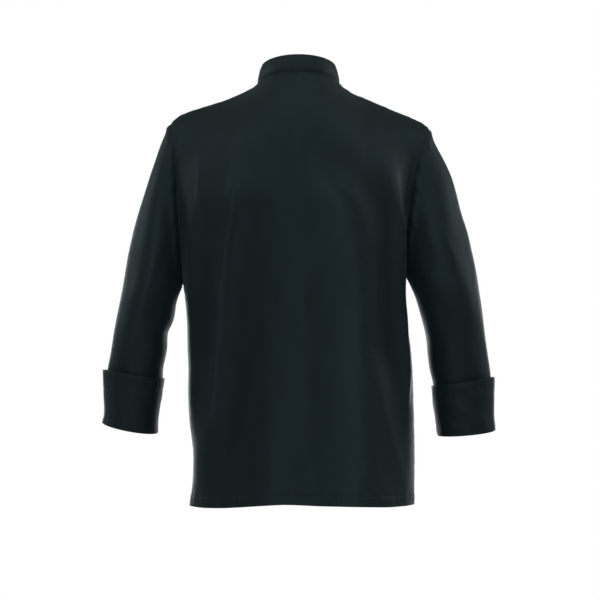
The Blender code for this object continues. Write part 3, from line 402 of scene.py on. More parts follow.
LIGHTS = (                                 # name, place, aim, width, height, watts
    ("main", (0.3, 3.4, 0.3), (0, 0, -0.40), 1.2, 1.2, 20),
    ("overhead_left", (1.0, 1.3, 1.9), (0.1, 0, -0.15), 1.2, 1.0, 12),
    ("overhead_right", (-0.8, 1.3, 2.3), (-0.1, 0, -0.15), 1.2, 1.0, 17),
    ("side_left", (2.1, 0.6, 1.1), (0.2, 0, -0.15), 0.8, 0.9, 4),
    ("side_right", (-2.1, 0.6, 1.1), (-0.2, 0, -0.15), 0.8, 0.9, 6),
    ("rim_left", (2.2, -0.6, 0.4), (0.2, 0, -0.25), 0.6, 0.8, 9),
    ("rim_right", (-2.2, -0.6, 0.4), (-0.2, 0, -0.25), 0.6, 0.8, 10),
    ("floor_bounce", (0, 2.4, -1.35), (0, 0, -0.5), 2.0, 1.0, 3),
    ("front_left", (1.1, -2.9, -0.5), (0, 0, -0.40), 1.2, 1.0, 24),
    ("front_right", (-1.3, -2.8, -0.5), (0, 0, -0.40), 1.2, 1.0, 14),
)
SKY = 0.14                                 # strength of the even light from all round


# ---- reading the tables
def read(table, at):
    """The other columns of a table at a value of its first, on a smooth curve through its rows."""
    rows = sorted(table)
    at = min(max(at, rows[0][0]), rows[-1][0])
    start = max(k for k in range(len(rows) - 1) if rows[k][0] <= at)
    span = rows[start + 1][0] - rows[start][0]
    t = (at - rows[start][0]) / span

    def slope(k, column):
        before, after = rows[max(k - 1, 0)], rows[min(k + 1, len(rows) - 1)]
        return (after[column] - before[column]) / (after[0] - before[0])

    values = []
    for column in range(1, len(rows[0])):
        low, high = rows[start][column], rows[start + 1][column]
        leave, arrive = slope(start, column) * span, slope(start + 1, column) * span
        values.append((2 * t ** 3 - 3 * t * t + 1) * low + (t ** 3 - 2 * t * t + t) * leave
                      + (3 * t * t - 2 * t ** 3) * high + (t ** 3 - t * t) * arrive)
    return values


def read_all(table, places, column=0):
    """One column of a table at many places."""
    lows, highs = min(row[0] for row in table), max(row[0] for row in table)
    knots = np.linspace(lows, highs, TABLE_STEPS)
    values = np.array([read(table, at)[column] for at in knots])
    return np.interp(places, knots, values)


def mix(low, high, share):
    return low + (high - low) * share


def ease(share):
    share = np.clip(share, 0.0, 1.0)
    return share * share * (3 - 2 * share)


def bezier(start, leave, arrive, end, t):
    return (start * (1 - t) ** 3 + leave * 3 * t * (1 - t) ** 2
            + arrive * 3 * t * t * (1 - t) + end * t ** 3)


def lengths_along(points):
    """Distances from the first point along lines of points; the lines run down the first axis."""
    steps = np.linalg.norm(np.diff(points, axis=0), axis=-1)
    return np.concatenate((np.zeros((1,) + steps.shape[1:]), np.cumsum(steps, axis=0)))


def spline(values, places):
    """Rows at places between the rows of an array, on smooth curves through them."""
    padded = np.concatenate(([2 * values[0] - values[1]], values, [2 * values[-1] - values[-2]]))
    start = np.minimum(places.astype(int), len(values) - 2)
    t = (places - start).reshape((-1,) + (1,) * (values.ndim - 1))
    a, b, c, d = (padded[start + k] for k in range(4))
    return b + (c - a + (2 * a - 5 * b + 4 * c - d + (3 * b - a - 3 * c + d) * t) * t) * t / 2


def spacing(length, extras=()):
    """Distances along a length, a step apart, and extra ones where the cloth turns sharply."""
    even = np.linspace(0, length, max(round(length / STEP), LEAST_STEPS) + 1)
    extras = np.sort(np.array(extras) % length)
    clear = np.ones(len(even), bool)
    if len(extras):
        clear = np.abs(even[:, None] - extras[None]).min(axis=1) > STEP * STEP_CLEARANCE
        clear[[0, -1]] = True
    return np.sort(np.concatenate((even[clear], extras)))


# ---- the body's surface
def armhole(side, turn):
    """The armhole seam: turn 0 at the shoulder, a quarter at the back, half at the underarm."""
    tip_across, tip_height = SHOULDER[side][-1]
    under_across, under_height = UNDERARM[side]
    height = (tip_height + under_height) / 2 + (tip_height - under_height) / 2 * np.cos(turn)
    fall = (tip_height - height) / (tip_height - under_height)
    across = mix(tip_across, under_across, fall) + ARMHOLE_SCOOP[side] * np.sin(turn) ** 2
    deep = ARMHOLE_HALF_WIDTH * np.sin(turn)
    return np.stack(np.broadcast_arrays(side * across, deep, height), axis=-1)


def neck_ring(turn, half_width, back, front, height, rise, drop):
    """A ring round the neck: turn 0 at the centre back, half a turn at the centre front."""
    behind = np.cos(turn)
    height = height + np.where(behind >= 0, rise * behind, -drop * np.abs(behind) ** NECK_FALL)
    deep = np.where(behind >= 0, back, front) * behind
    return np.stack([NECK_MIDDLE + half_width * np.sin(turn), deep, height], axis=-1)


def top_edge(face, across):
    """Where a body panel starts: neck seam, then shoulder seam. across runs from -1 to 1."""
    points = np.zeros((len(across), 3))
    for number, place in enumerate(across):
        side = LEFT if place >= 0 else RIGHT
        share = abs(place) / NECK_SHARE
        if share <= 1:
            turn = share * QUARTER if face == BACK else math.pi - share * QUARTER
            points[number] = neck_ring(side * turn, **NECK_SEAM)
        else:
            reach = mix(SHOULDER[side][0][0], SHOULDER[side][-1][0],
                        (abs(place) - NECK_SHARE) / (1 - NECK_SHARE))
            points[number] = (side * reach, 0, read(SHOULDER[side], reach)[0])
    return points


def ring_tables(side, face):
    """Heights, and at each a ring's half width, the same evened out, and how far a face reaches."""
    heights = np.linspace(RINGS_FROM, SHOULDER[side][-1][1] - RINGS_BELOW_TIP, RING_STEPS)
    tip_height, under_height = SHOULDER[side][-1][1], UNDERARM[side][1]
    middle, half = (tip_height + under_height) / 2, (tip_height - under_height) / 2
    seam = armhole(side, np.arccos(np.clip((heights - middle) / half, -1, 1)))
    deep = read_all(DEPTH, heights, 0 if face == BACK else 1)
    share = (1 - (seam[:, 1] / deep) ** (1 / BODY_ROUNDING)) ** (1 / BODY_SQUARENESS)
    above = heights > under_height
    share = np.where(above, share, 1.0)
    exact = np.where(above, np.abs(seam[:, 0]) / share, read_all(SIDE[side], heights))
    even = np.mean([np.interp(heights + EVENING * k / EVENING_STEPS, heights, exact)
                    for k in range(-EVENING_STEPS, EVENING_STEPS + 1)], axis=0)
    return heights, exact, even, share


def body_below_chest(face, edge_heights, z, across):
    """Rows of points at heights z. edge_heights has each row's height at its two edges."""
    reach = np.sin(np.abs(across) * QUARTER)
    deep = read_all(DEPTH, z, 0 if face == BACK else 1)
    points = np.zeros(z.shape + (3,))
    for side in (LEFT, RIGHT):
        here = across >= 0 if side == LEFT else across < 0
        heights, exact, even, share = ring_tables(side, face)
        swing = reach[here] * np.interp(edge_heights[side], heights, share)[:, None]
        level = z[:, here]
        wide = mix(np.interp(level, heights, even), np.interp(level, heights, exact),
                   reach[here] ** SIDE_EXACT)
        bulge = np.maximum(1 - swing ** BODY_SQUARENESS, 0) ** BODY_ROUNDING
        points[:, here] = np.stack([side * wide * swing, face * deep[:, here] * bulge, level],
                                   axis=-1)
    return points


def over_the_top(start, end, slope, face, share):
    """From the top edge, at a slope, to the chest, where the cloth hangs straight down."""
    handle = HANDLE * np.abs(end[..., 1] - start[..., 1]) / np.cos(slope)
    away = np.stack([np.zeros_like(slope), face * np.cos(slope), -np.sin(slope)], axis=-1)
    up = np.zeros_like(start)
    up[..., 2] = HANDLE * (start[..., 2] - end[..., 2])
    return bezier(start, start + away * handle[..., None], end + up, end, share)


def body_top(face, chest, across, shares):
    """Rows of points from the top edge to the chest's row."""
    slope = mix(SLOPE_AT_NECK, SLOPE_AT_TIP, ease(np.abs(across) / SLOPE_REACH))
    share = shares[:, None, None]
    points = over_the_top(top_edge(face, across), chest, slope, face, share)
    draw = np.maximum((np.abs(across) - ARMHOLE_DRAW) / (1 - ARMHOLE_DRAW), 0) ** 3
    for side in (LEFT, RIGHT):
        here = across > 0 if side == LEFT else across < 0
        ends = [np.repeat(armhole(side, turn)[None], here.sum(), axis=0)
                for turn in (0, face * QUARTER)]
        plain = over_the_top(ends[0], ends[1], slope[here], face, share)
        seam = armhole(side, face * shares * QUARTER)[:, None]
        points[:, here] += (seam - plain) * draw[here][None, :, None]
    return points


def soften(points, rounds, strength):
    """Evens a grid out without moving its edges. strength says how much each point gives way."""
    for _ in range(rounds):
        near = (points[:-2, 1:-1] + points[2:, 1:-1] + points[1:-1, :-2] + points[1:-1, 2:]) / 4
        points[1:-1, 1:-1] += (near - points[1:-1, 1:-1]) * strength[1:-1, 1:-1, None]
    return points


def body_columns():
    """Places across a face, about evenly apart on the cloth, with one at each front's edge."""
    places = np.linspace(0, 1, EDGE_STEPS)
    swing = np.sin(places * QUARTER)
    ring = np.stack([CHEST_HALF_WIDTH * swing,
                     CHEST_HALF_DEPTH * (1 - swing ** BODY_SQUARENESS) ** BODY_ROUNDING], axis=1)
    along = lengths_along(ring)
    edge = np.interp(LAP_SHARE, places, along)
    inner = round(HALF_COLUMNS * edge / along[-1])
    steps = np.concatenate((np.linspace(0, edge, inner + 1),
                            np.linspace(edge, along[-1], HALF_COLUMNS - inner + 1)[1:]))
    half = np.interp(steps, along, places)
    return np.concatenate((-half[:0:-1], half))


def body_grid(face, across):
    """A face with no folds, and its rows' places: 0 top edge, 1 chest, 2 underarm, 3 hem."""
    falls = np.linspace(0, 1, ARMHOLE_ROWS + 1)
    seams = {side: armhole(side, QUARTER * (1 + falls))[:, 2] for side in (LEFT, RIGHT)}
    middle = ((seams[LEFT] + seams[RIGHT]) / 2)[:, None]
    ends = np.where(across >= 0, seams[LEFT][:, None], seams[RIGHT][:, None])
    levels = mix(middle, ends, across ** 2)
    chest = body_below_chest(face, seams, levels, across)

    shares = np.linspace(0, 1, SKIRT_ROWS + 1)
    edges = {side: mix(UNDERARM[side][1], read(HEM[face], side)[0], shares)
             for side in (LEFT, RIGHT)}
    levels = mix(levels[-1], read_all(HEM[face], across), shares[:, None])
    skirt = body_below_chest(face, edges, levels, across)

    shares = np.linspace(0, 1, TOP_ROWS + 1)
    top = body_top(face, chest[0], across, shares)
    points = np.concatenate((top[:-1], chest[:-1], skirt))
    downs = np.concatenate((shares[:-1], 1 + falls[:-1], 2 + np.linspace(0, 1, SKIRT_ROWS + 1)))
    fading = np.clip((SOFT_DOWN_TO - downs) / SOFT_FADES_OVER, 0, 1)[:, None]
    strength = np.tile(fading * SOFT_STRENGTH, (1, len(across)))
    points = soften(points, SOFTEN_ROUNDS, strength)
    by_neck = np.exp(-((np.abs(across) - NECK_SHARE) / NECK_SOFT_REACH) ** 2)
    return soften(points, NECK_SOFTEN_ROUNDS, np.clip(1 - downs, 0, 1)[:, None] * by_neck), downs


# ---- panels
class Panel:
    """A piece of cloth as rows of points. A closed panel's rows go all the way round."""

    def __init__(self, points, inside, downs=None, acrosses=None, closed=False):
        self.points, self.inside, self.closed = points, inside, closed
        self.downs, self.acrosses = downs, acrosses
        # wear of the cloth, into which the folds later put painted highlight and painted shade
        self.wear_and_fold_light = np.full(points.shape[:2], WORN_ALL_OVER)
        self.measure()

    def measure(self):
        """Works out outward normals, and the lengths along the rows and down the columns."""
        points = self.points
        if self.closed:
            along = np.roll(points, -1, axis=1) - np.roll(points, 1, axis=1)
            points = np.concatenate((points, points[:, :1]), axis=1)
        else:
            along = np.gradient(points, axis=1)
        normals = np.cross(along, np.gradient(self.points, axis=0))
        normals /= np.maximum(np.linalg.norm(normals, axis=2, keepdims=True), 1e-12)
        outward = (normals * (self.points - np.array(self.inside))).sum()
        self.normals = normals if outward > 0 else -normals
        self.across = lengths_along(points.transpose(1, 0, 2)).T
        self.down = lengths_along(self.points)

    def part(self, start, end):
        """The columns between two places across."""
        keep = (self.acrosses >= start - 1e-9) & (self.acrosses <= end + 1e-9)
        return Panel(self.points[:, keep], self.inside, self.downs, self.acrosses[keep])

    def finer(self, extra_downs=(), extra_acrosses=()):
        """The same cloth with points a step apart, and extra ones at distances from its edges."""
        down = self.down.mean(axis=1)
        rows = np.interp(spacing(down[-1], extra_downs), down, np.arange(len(down)))
        points = spline(self.points, rows)
        downs = None if self.downs is None else np.interp(rows, np.arange(len(down)), self.downs)
        acrosses = self.acrosses
        if not self.closed:
            across = self.across.mean(axis=0)
            columns = np.interp(spacing(across[-1], extra_acrosses), across, np.arange(len(across)))
            points = spline(points.transpose(1, 0, 2), columns).transpose(1, 0, 2)
            acrosses = np.interp(columns, np.arange(len(across)), acrosses)
        return Panel(points, self.inside, downs, acrosses, self.closed)

    def lift(self, heights):
        """Moves the cloth out by these heights."""
        self.points = self.points + self.normals * heights[..., None]
        self.measure()

    def from_edge(self, edge):
        """Each point's distance from the top, bottom, start or end edge."""
        across = self.across[:, :self.points.shape[1]]
        return {"top": self.down, "bottom": self.down[-1] - self.down,
                "start": across, "end": self.across[:, -1:] - across}[edge]

    def along_edge(self, edge):
        return self.down if edge in ("start", "end") else self.across[:, :self.points.shape[1]]

    def line(self, edge, distance, trim=0.0):
        """Points and normals of a line at a distance from an edge, trimmed at both its ends."""
        away = self.from_edge(edge)
        both = np.concatenate((self.points, self.normals), axis=2)
        if edge in ("start", "end"):
            away, both = away.T, both.transpose(1, 0, 2)
        if edge in ("bottom", "end"):
            away, both = away[::-1], both[::-1]
        line = np.array([[np.interp(distance, away[:, k], both[:, k, value]) for value in range(6)]
                         for k in range(away.shape[1])])
        if self.closed:
            line = np.concatenate((line, line[:1]))
        along = lengths_along(line[:, :3])
        line = line[(along >= trim) & (along <= along[-1] - trim)]
        return line[:, :3], line[:, 3:] / np.linalg.norm(line[:, 3:], axis=1, keepdims=True)

    def at(self, across, height):
        """The cloth at a place seen from the front or back, and its normal there."""
        away = np.hypot(self.points[..., 0] - across, self.points[..., 2] - height)
        row, column = np.unravel_index(away.argmin(), away.shape)
        normal, near = self.normals[row, column], self.points[row, column]
        rise = (across - near[0]) * normal[0] + (height - near[2]) * normal[2]
        return np.array([across, near[1] - rise / normal[1], height]), normal

    def area(self):
        """Area of the cloth in square metres."""
        points = self.points
        if self.closed:
            points = np.concatenate((points, points[:, :1]), axis=1)
        first, second = points[1:, 1:] - points[:-1, :-1], points[1:, :-1] - points[:-1, 1:]
        return np.linalg.norm(np.cross(first, second), axis=2).sum() / 2


# ---- folds and the marks that sewing leaves
def fold_lifts(points, folds, away_from):
    """How far folds lift the cloth. away_from gives each point's distance from a fold's path."""
    z, total = points[..., 2], np.zeros(points.shape[:2])
    for half_widths, lift, path in folds:
        top, bottom = max(row[0] for row in path), min(row[0] for row in path)
        ends = ease((top - z) / FOLD_RUN_OUT) * ease((z - bottom) / FOLD_RUN_OUT)
        away = away_from(read_all(path, z))
        half_width = np.where(away < 0, half_widths[0], half_widths[1])
        total += lift * ends * np.exp(-(away / half_width) ** 2)
    return total


def swells(points, seed):
    """The slow unevenness of a large panel that hangs."""
    draw = np.random.default_rng(seed)
    total = np.zeros(points.shape[:2])
    for length, height in SWELLS:
        for _ in range(SWELL_WAVES):
            angle, phase = draw.uniform(-SWELL_TURN, SWELL_TURN), draw.uniform(0, 2 * math.pi)
            run = points[..., 0] * math.cos(angle) + points[..., 2] * math.sin(angle)
            winding = 2 * math.pi * points[..., 2] / (length * SWELL_BEND_LENGTH)
            bend = SWELL_BEND * np.sin(winding + phase)
            total += height / 2 * np.sin(2 * math.pi * run / length + phase + bend)
    return total


def seam_roll(away, kind="body"):
    """Cloth swells a little beside a seam and turns in at it."""
    depth, reach = SEAM_ROLL[kind]
    swell = SEAM_SWELL * np.exp(-(away / SEAM_SWELL_REACH) ** 2)
    return depth * (swell - np.exp(-(away / reach) ** SEAM_SHARPNESS))


def stitch_groove(away, kind="body"):
    """The line that thread presses into the cloth."""
    depth, reach = GROOVE[kind]
    return -depth * np.exp(-(away / reach) ** 2)


def gathers(kind, away, along, more=0):
    """Small gathers that thread pulls into the cloth beside it. more goes with the seed."""
    place, height, pitch, reach, seed = GATHERS[kind]
    draw = np.random.default_rng(seed + more)
    wave = sum(np.sin(2 * math.pi * along / (pitch * share) + draw.uniform(0, 2 * math.pi))
               for share in GATHER_PITCHES)
    return height / 2 * wave * np.exp(-((away - place) / reach) ** 2)


def worn(away):
    """Wear on an edge, most at the edge itself."""
    return np.exp(-away / WORN_EDGE_REACH) * WORN_EDGE


def fold_highlight_and_shade(lifts):
    """Painted light of the folds: crests paler as a painted highlight, hollows darker than smooth
    cloth as painted shade.
    """
    return np.clip(lifts / FOLD_HIGHLIGHT_LIFT, -WORN_ALL_OVER, FOLD_HIGHLIGHT_MOST)


# ---- panels of the body
def body_face(face):
    """A face of the body as one panel, with no folds yet."""
    across = body_columns()
    points, downs = body_grid(face, across)
    return Panel(points, BODY_MIDDLE, downs, across)


def body_panel(face, start, end, seams, sink=None):
    """Part of a face of the body, folded, rolled in at its seams and hemmed."""
    extras = [away * edge for away in SEAM_ROWS for edge in (1, -1)]
    groove = [-HEM_STITCH + offset for offset in GROOVE_ROWS]
    panel = body_face(face).part(start, end).finer(extras + groove, extras + EDGE_ROWS)
    across = np.abs(panel.acrosses)[None]
    calm = ease((1 - across) / CALM_SIDE) * ease(panel.downs / CALM_TOP)[:, None]
    sides = panel.points[..., 0]
    lifts = fold_lifts(panel.points, FOLDS[face], lambda path: sides - path)
    lifts = (lifts + swells(panel.points, BODY_SEED + face)) * calm
    # painted highlight on the crests and painted shade in the hollows, put into the wear mask
    panel.wear_and_fold_light += fold_highlight_and_shade(lifts)
    if sink is not None:
        lifts = lifts - sink(panel.acrosses)[None]
    panel.lift(lifts)

    lifts = np.zeros(panel.points.shape[:2])
    for number, edge in enumerate(seams):
        away = panel.from_edge(edge)
        kind = "top seam" if edge == "top" else "side seam"
        lifts += seam_roll(away)
        lifts += gathers(kind, away, panel.along_edge(edge), number + 5 * face)
    above, along = panel.from_edge("bottom"), panel.along_edge("bottom")
    lifts += HEM_LIFT * ease((HEM_STITCH - above) / HEM_STEP + 0.5)
    lifts += stitch_groove(above - HEM_STITCH)
    lifts += gathers("hem stitching", above, along, face) + gathers("hem", above, along, face)
    panel.wear_and_fold_light += worn(above)
    for edge in {"start", "end"} - set(seams):
        away = panel.from_edge(edge)
        lifts += stitch_groove(away - EDGE_STITCH)
        lifts += gathers("front edge", away, panel.along_edge(edge))
        panel.wear_and_fold_light += worn(away)
    panel.lift(lifts)
    return panel


def under_lap(across):
    """How far the under front lies behind the outer one."""
    return LAP_DEPTH * ease((across + LAP_SINK_FROM) / LAP_SINK_OVER)


def hem_band(panel):
    """The hem's inner layer, turned up behind a body panel."""
    inside = panel.points - panel.normals * (CLOTH + LAYER_GAP)
    rows = panel.from_edge("bottom").min(axis=1) < HEM_DEPTH
    return Panel(inside[rows], panel.inside)


# ---- sleeves, cuffs and collar
def arm_ring(side, height, turn, outer, inner, depth, tilt, dip):
    """A ring round an arm, its outer side tipped up and its back let down.

    Turn 0 is at its outer side, a quarter at its back, half at its inner side.
    """
    outer, inner = read(outer[side], height + tilt)[0], read(inner[side], height - tilt)[0]
    across = (outer + inner) / 2 + (outer - inner) / 2 * np.cos(turn)
    rise = tilt * np.cos(turn) - dip * np.sin(turn)
    return np.stack([side * across, depth[0] + depth[1] * np.sin(turn), height + rise], axis=-1)


def sleeve_ring(side, height, turn):
    cuff = CUFF[side]
    in_cuff = float(ease((cuff["top"] - height) / (cuff["top"] - cuff["bottom"])))
    tilt = mix(RING_TILT, cuff["bottom_tilt"], in_cuff)
    return arm_ring(side, height, turn, SLEEVE_OUTER, SLEEVE_INNER, read(SLEEVE_DEPTH, height),
                    tilt, cuff["dip"] * in_cuff)


def sleeve_cap(side, share, turn):
    """From the armhole seam, share 0, to the first whole ring, share 1. The first turn is 0."""
    bicep = UNDERARM[side][1] - BICEP_BELOW_UNDERARM
    start, end = armhole(side, turn), sleeve_ring(side, bicep, turn)
    length = np.linalg.norm(end - start, axis=-1, keepdims=True) * CAP_HANDLE
    leave = np.stack([np.full_like(turn, side * CAP_LEAVES[0]), CAP_LEAVES[1] * np.sin(turn),
                      np.full_like(turn, CAP_LEAVES[2])], axis=-1)
    leave /= np.linalg.norm(leave, axis=-1, keepdims=True)
    arrive = np.array([side * CAP_ARRIVES[0], CAP_ARRIVES[1], CAP_ARRIVES[2]])
    points = bezier(start, start + leave * length, end + arrive * length, end, share)
    outline = side * read(SLEEVE_OUTER[side], points[0, 2])[0] - points[0, 0]
    points[:, 0] += outline * np.maximum(np.cos(turn), 0) ** 2
    return points


def round_turns():
    return 2 * math.pi * np.arange(ROUND_COLUMNS) / ROUND_COLUMNS


def apart(turns, degrees):
    """Turns from a turn in degrees, the short way round."""
    return (turns[None] - np.radians(degrees) + math.pi) % (2 * math.pi) - math.pi


def inside_arm(side):
    return side * ARM_MIDDLE[0], ARM_MIDDLE[1], ARM_MIDDLE[2]


def sleeve_panel(side):
    """A sleeve from its armhole seam down to its end inside the cuff."""
    turns = round_turns()
    start = UNDERARM[side][1] - BICEP_BELOW_UNDERARM
    end = CUFF[side]["bottom"] + SLEEVE_END
    rows = [sleeve_cap(side, share, turns) for share in np.linspace(0, 1, CAP_ROWS, endpoint=False)]
    rows += [sleeve_ring(side, height, turns) for height in np.linspace(start, end, SLEEVE_ROWS)]
    panel = Panel(np.array(rows), inside_arm(side), closed=True, acrosses=turns)
    panel = panel.finer(ARMHOLE_SEAM_ROWS)
    below = panel.from_edge("top")
    above_end = panel.points[..., 2] - end
    calm = (ease((below - SLEEVE_CALM_TOP) / SLEEVE_CALM_REACH)
            * ease((above_end - SLEEVE_CALM_END) / SLEEVE_CALM_END_REACH))
    lifts = fold_lifts(panel.points, SLEEVE_FOLDS[side],
                       lambda path: apart(turns, path) * SLEEVE_RADIUS)
    lifts = (lifts + swells(panel.points, SLEEVE_SEED + side)) * calm
    # painted highlight on the crests and painted shade in the hollows, put into the wear mask
    panel.wear_and_fold_light += fold_highlight_and_shade(lifts)
    lifts += seam_roll(below, "armhole")
    lifts += CAP_SWELL * np.exp(-((below - CAP_SWELL_PLACE) / CAP_SWELL_REACH) ** 2)
    lifts += gathers("armhole", below, panel.along_edge("top"), side)
    panel.lift(lifts)
    return panel


def cuff_ring(side, share, turn):
    """A ring of a cuff's outer face: share 0 at its top, 1 at its bottom edge."""
    cuff = CUFF[side]
    height = mix(cuff["top"], cuff["bottom"], share)
    tilt = mix(cuff["top_tilt"], cuff["bottom_tilt"], share)
    deep, half_depth = read(SLEEVE_DEPTH, height)
    half_depth += mix(CUFF_STAND_OFF[0], CUFF_STAND_OFF[1], share)
    return arm_ring(side, height, turn, CUFF_OUTER, CUFF_INNER, (deep, half_depth), tilt,
                    cuff["dip"] * share)


def drawn_in(ring, distance):
    """A ring made smaller all round."""
    middle = ring.mean(axis=0)
    away = ring - middle
    return middle + away * (1 - distance / np.linalg.norm(away, axis=1, keepdims=True))


def cuff_panel(side):
    """A turned-back cuff: its band from the top down, round the fold, and up inside the sleeve."""
    turns = round_turns()
    band = [cuff_ring(side, share, turns) for share in np.linspace(0, CUFF_FOLD_STARTS, CUFF_ROWS)]
    end = CUFF[side]["bottom"] + SLEEVE_END
    inside = [drawn_in(sleeve_ring(side, end + rise, turns), CLOTH + CUFF_GAP)
              for rise in np.linspace(0, CUFF_TURN_IN, CUFF_FOLD_ROWS)]
    below = np.array([0, 0, -CUFF_FOLD_DROP])
    fold = [bezier(band[-1], band[-1] + below, inside[0] + below, inside[0], t)
            for t in np.linspace(0, 1, CUFF_FOLD_ROWS)[1:-1]]
    panel = Panel(np.array(band + fold + inside), inside_arm(side), closed=True, acrosses=turns)

    down, along = panel.from_edge("top"), panel.along_edge("top")
    on_band = ease((len(band) + 1 - np.arange(len(panel.points))) / CUFF_FADE_ROWS)[:, None]
    lifts = sum(stitch_groove(down - place, "cuff") for place in CUFF_STITCHES)
    lifts += sum(gathers("cuff", down - place, along, side) for place in CUFF_STITCHES)
    for turn, height, wide, tall, lift, slant in CUFF_DENTS[side]:
        beside = apart(turns, turn) * CUFF_RADIUS - (down - height) * slant
        lifts += lift * np.exp(-(beside / wide) ** 2 - ((down - height) / tall) ** 2)
    away = down - lengths_to_fold(panel)
    panel.wear_and_fold_light += worn(down) + WORN_EDGE * np.exp(-(away / WORN_FOLD_REACH) ** 2)
    panel.lift(lifts * on_band)
    return panel


def lengths_to_fold(cuff):
    """Distance down a cuff to its lowest line, column by column."""
    lowest = cuff.points[..., 2].argmin(axis=0)
    return cuff.down[lowest, np.arange(cuff.points.shape[1])][None]


def collar_panel():
    """The stand collar from its seam up, with rounded front corners."""
    end = math.pi - COLLAR_HALF_OPENING
    turns = np.linspace(-end, end, EDGE_STEPS)
    along = lengths_along(neck_ring(turns, **NECK_SEAM))
    turns = np.interp(spacing(along[-1], COLLAR_EDGE_ROWS), along, turns)
    low, high = neck_ring(turns, **NECK_SEAM), neck_ring(turns, **COLLAR_TOP)
    along = lengths_along(high)
    short = np.maximum(COLLAR_CORNER - np.minimum(along, along[-1] - along), 0)
    tall = np.linalg.norm(high - low, axis=1)
    shorter = 1 - (COLLAR_CORNER - np.sqrt(COLLAR_CORNER ** 2 - short ** 2)) / tall
    shares = np.linspace(0, 1, COLLAR_ROWS)
    points = low + (high - low) * (shares[:, None] * shorter)[..., None]
    panel = Panel(points, (0, 0, 0), acrosses=turns)
    up, from_top = panel.from_edge("top"), panel.from_edge("bottom")
    lifts = COLLAR_CROWN * np.sin(math.pi * shares)[:, None] + seam_roll(up, "neck")
    lifts += gathers("neck", up, panel.across)
    lifts += gathers("collar", from_top, panel.across)
    lifts += stitch_groove(from_top - COLLAR_STITCH, "collar")
    panel.wear_and_fold_light += worn(from_top)
    panel.lift(lifts)
    return panel


def turned_in(panel, seams, tuck=0.0):
    """The panel with its seam allowances turned in behind it. tuck leans them out past the seam."""
    arrays = [panel.points, panel.normals, panel.wear_and_fold_light]
    for edge in seams:
        sideways, reverse = edge in ("start", "end"), edge in ("bottom", "end")
        arrays = [array.swapaxes(0, 1) if sideways else array for array in arrays]
        arrays = [array[::-1] if reverse else array for array in arrays]
        points, normals, wear_and_fold_light = arrays
        beyond = points[0] - points[2]
        beyond /= np.linalg.norm(beyond, axis=-1, keepdims=True)
        inner = [points[0] + (beyond * tuck - normals[0]) * depth for depth in ALLOWANCE_ROWS]
        arrays = [np.concatenate((inner, points)),
                  np.concatenate([normals[:1]] * len(inner) + [normals]),
                  np.concatenate([wear_and_fold_light[:1]] * len(inner) + [wear_and_fold_light])]
        arrays = [array[::-1] if reverse else array for array in arrays]
        arrays = [array.swapaxes(0, 1) if sideways else array for array in arrays]
    whole = Panel(arrays[0], panel.inside, closed=panel.closed)
    whole.wear_and_fold_light = arrays[2]
    return whole


# ---- from panels to objects
def grid_corners(rows, columns, closed=True):
    """The row and the column of each face's corners on a grid of points."""
    last = columns if closed else columns - 1
    i, j = np.meshgrid(np.arange(rows - 1), np.arange(last), indexing="ij")
    return (np.stack([i, i, i + 1, i + 1], axis=-1).reshape(-1, 4),
            np.stack([j, j + 1, j + 1, j], axis=-1).reshape(-1, 4))


def ring_faces(rings, sides):
    """Faces between rings of points."""
    row, column = grid_corners(rings, sides)
    return row * sides + column % sides


def add_object(name, vertices, faces, finish):
    mesh = bpy.data.meshes.new(name)
    mesh.from_pydata(vertices, [], faces)
    mesh.shade_smooth()
    mesh.materials.append(finish)
    piece = bpy.data.objects.new(name, mesh)
    bpy.context.scene.collection.objects.link(piece)
    return piece


def cloth_object(name, panel, thickness, finish):
    """A panel as a shell with softened rims. Its UVs are lengths on the cloth in metres."""
    rows, columns = panel.points.shape[:2]
    row, column = grid_corners(rows, columns, panel.closed)
    points = panel.points[row, column % columns]
    turned = np.cross(points[:, 1] - points[:, 0], points[:, 3] - points[:, 0])
    if (turned * panel.normals[row[:, 0], column[:, 0] % columns]).sum() < 0:
        row, column = row[:, ::-1], column[:, ::-1]
    faces = (row * columns + column % columns).tolist()
    piece = add_object(name, panel.points.reshape(-1, 3), faces, finish)
    across = panel.across - panel.across[:, -1:] / 2
    lengths = np.stack([across[row, column], -panel.down[row, column % columns]], axis=-1)
    layer = piece.data.uv_layers.new(name="cloth")
    layer.uv.foreach_set("vector", lengths.astype(np.float32).ravel())
    # mask of real wear on edges and of painted highlight and painted shade on folds
    wear_and_fold_light = piece.data.attributes.new("wear_and_fold_light", "FLOAT", "POINT")
    wear_and_fold_light.data.foreach_set("value", np.clip(panel.wear_and_fold_light, 0, 1).astype(np.float32).ravel())
    wall = piece.modifiers.new("thickness", "SOLIDIFY")
    wall.thickness, wall.offset = thickness, -1
    rims = piece.modifiers.new("rims", "BEVEL")
    rims.width, rims.segments = thickness * RIM_SHARE, 2
    rims.limit_method, rims.angle_limit = "ANGLE", RIM_ANGLE
    return piece


def tubes(rings):
    """Vertices and faces of closed tubes: tubes x rings x sides x 3."""
    count, length, sides = rings.shape[:3]
    caps = np.stack([np.arange(sides)[::-1], (length - 1) * sides + np.arange(sides)])
    starts = np.arange(count)[:, None, None] * length * sides
    walls = (ring_faces(length, sides)[None] + starts).reshape(-1, 4).tolist()
    return rings.reshape(-1, 3), walls + (caps[None] + starts).reshape(-1, sides).tolist()


def strands(centres, ups, radius):
    """Rings of thread round lines of centres: strands x rings x 3 each."""
    run = np.gradient(centres, axis=1)
    run /= np.linalg.norm(run, axis=2, keepdims=True)
    side = np.cross(run, ups)
    side /= np.linalg.norm(side, axis=2, keepdims=True)
    over = np.cross(side, run)
    angles = 2 * math.pi * np.arange(THREAD_SIDES) / THREAD_SIDES
    around = over[:, :, None] * np.cos(angles)[:, None] + side[:, :, None] * np.sin(angles)[:, None]
    return centres[:, :, None] + around * radius


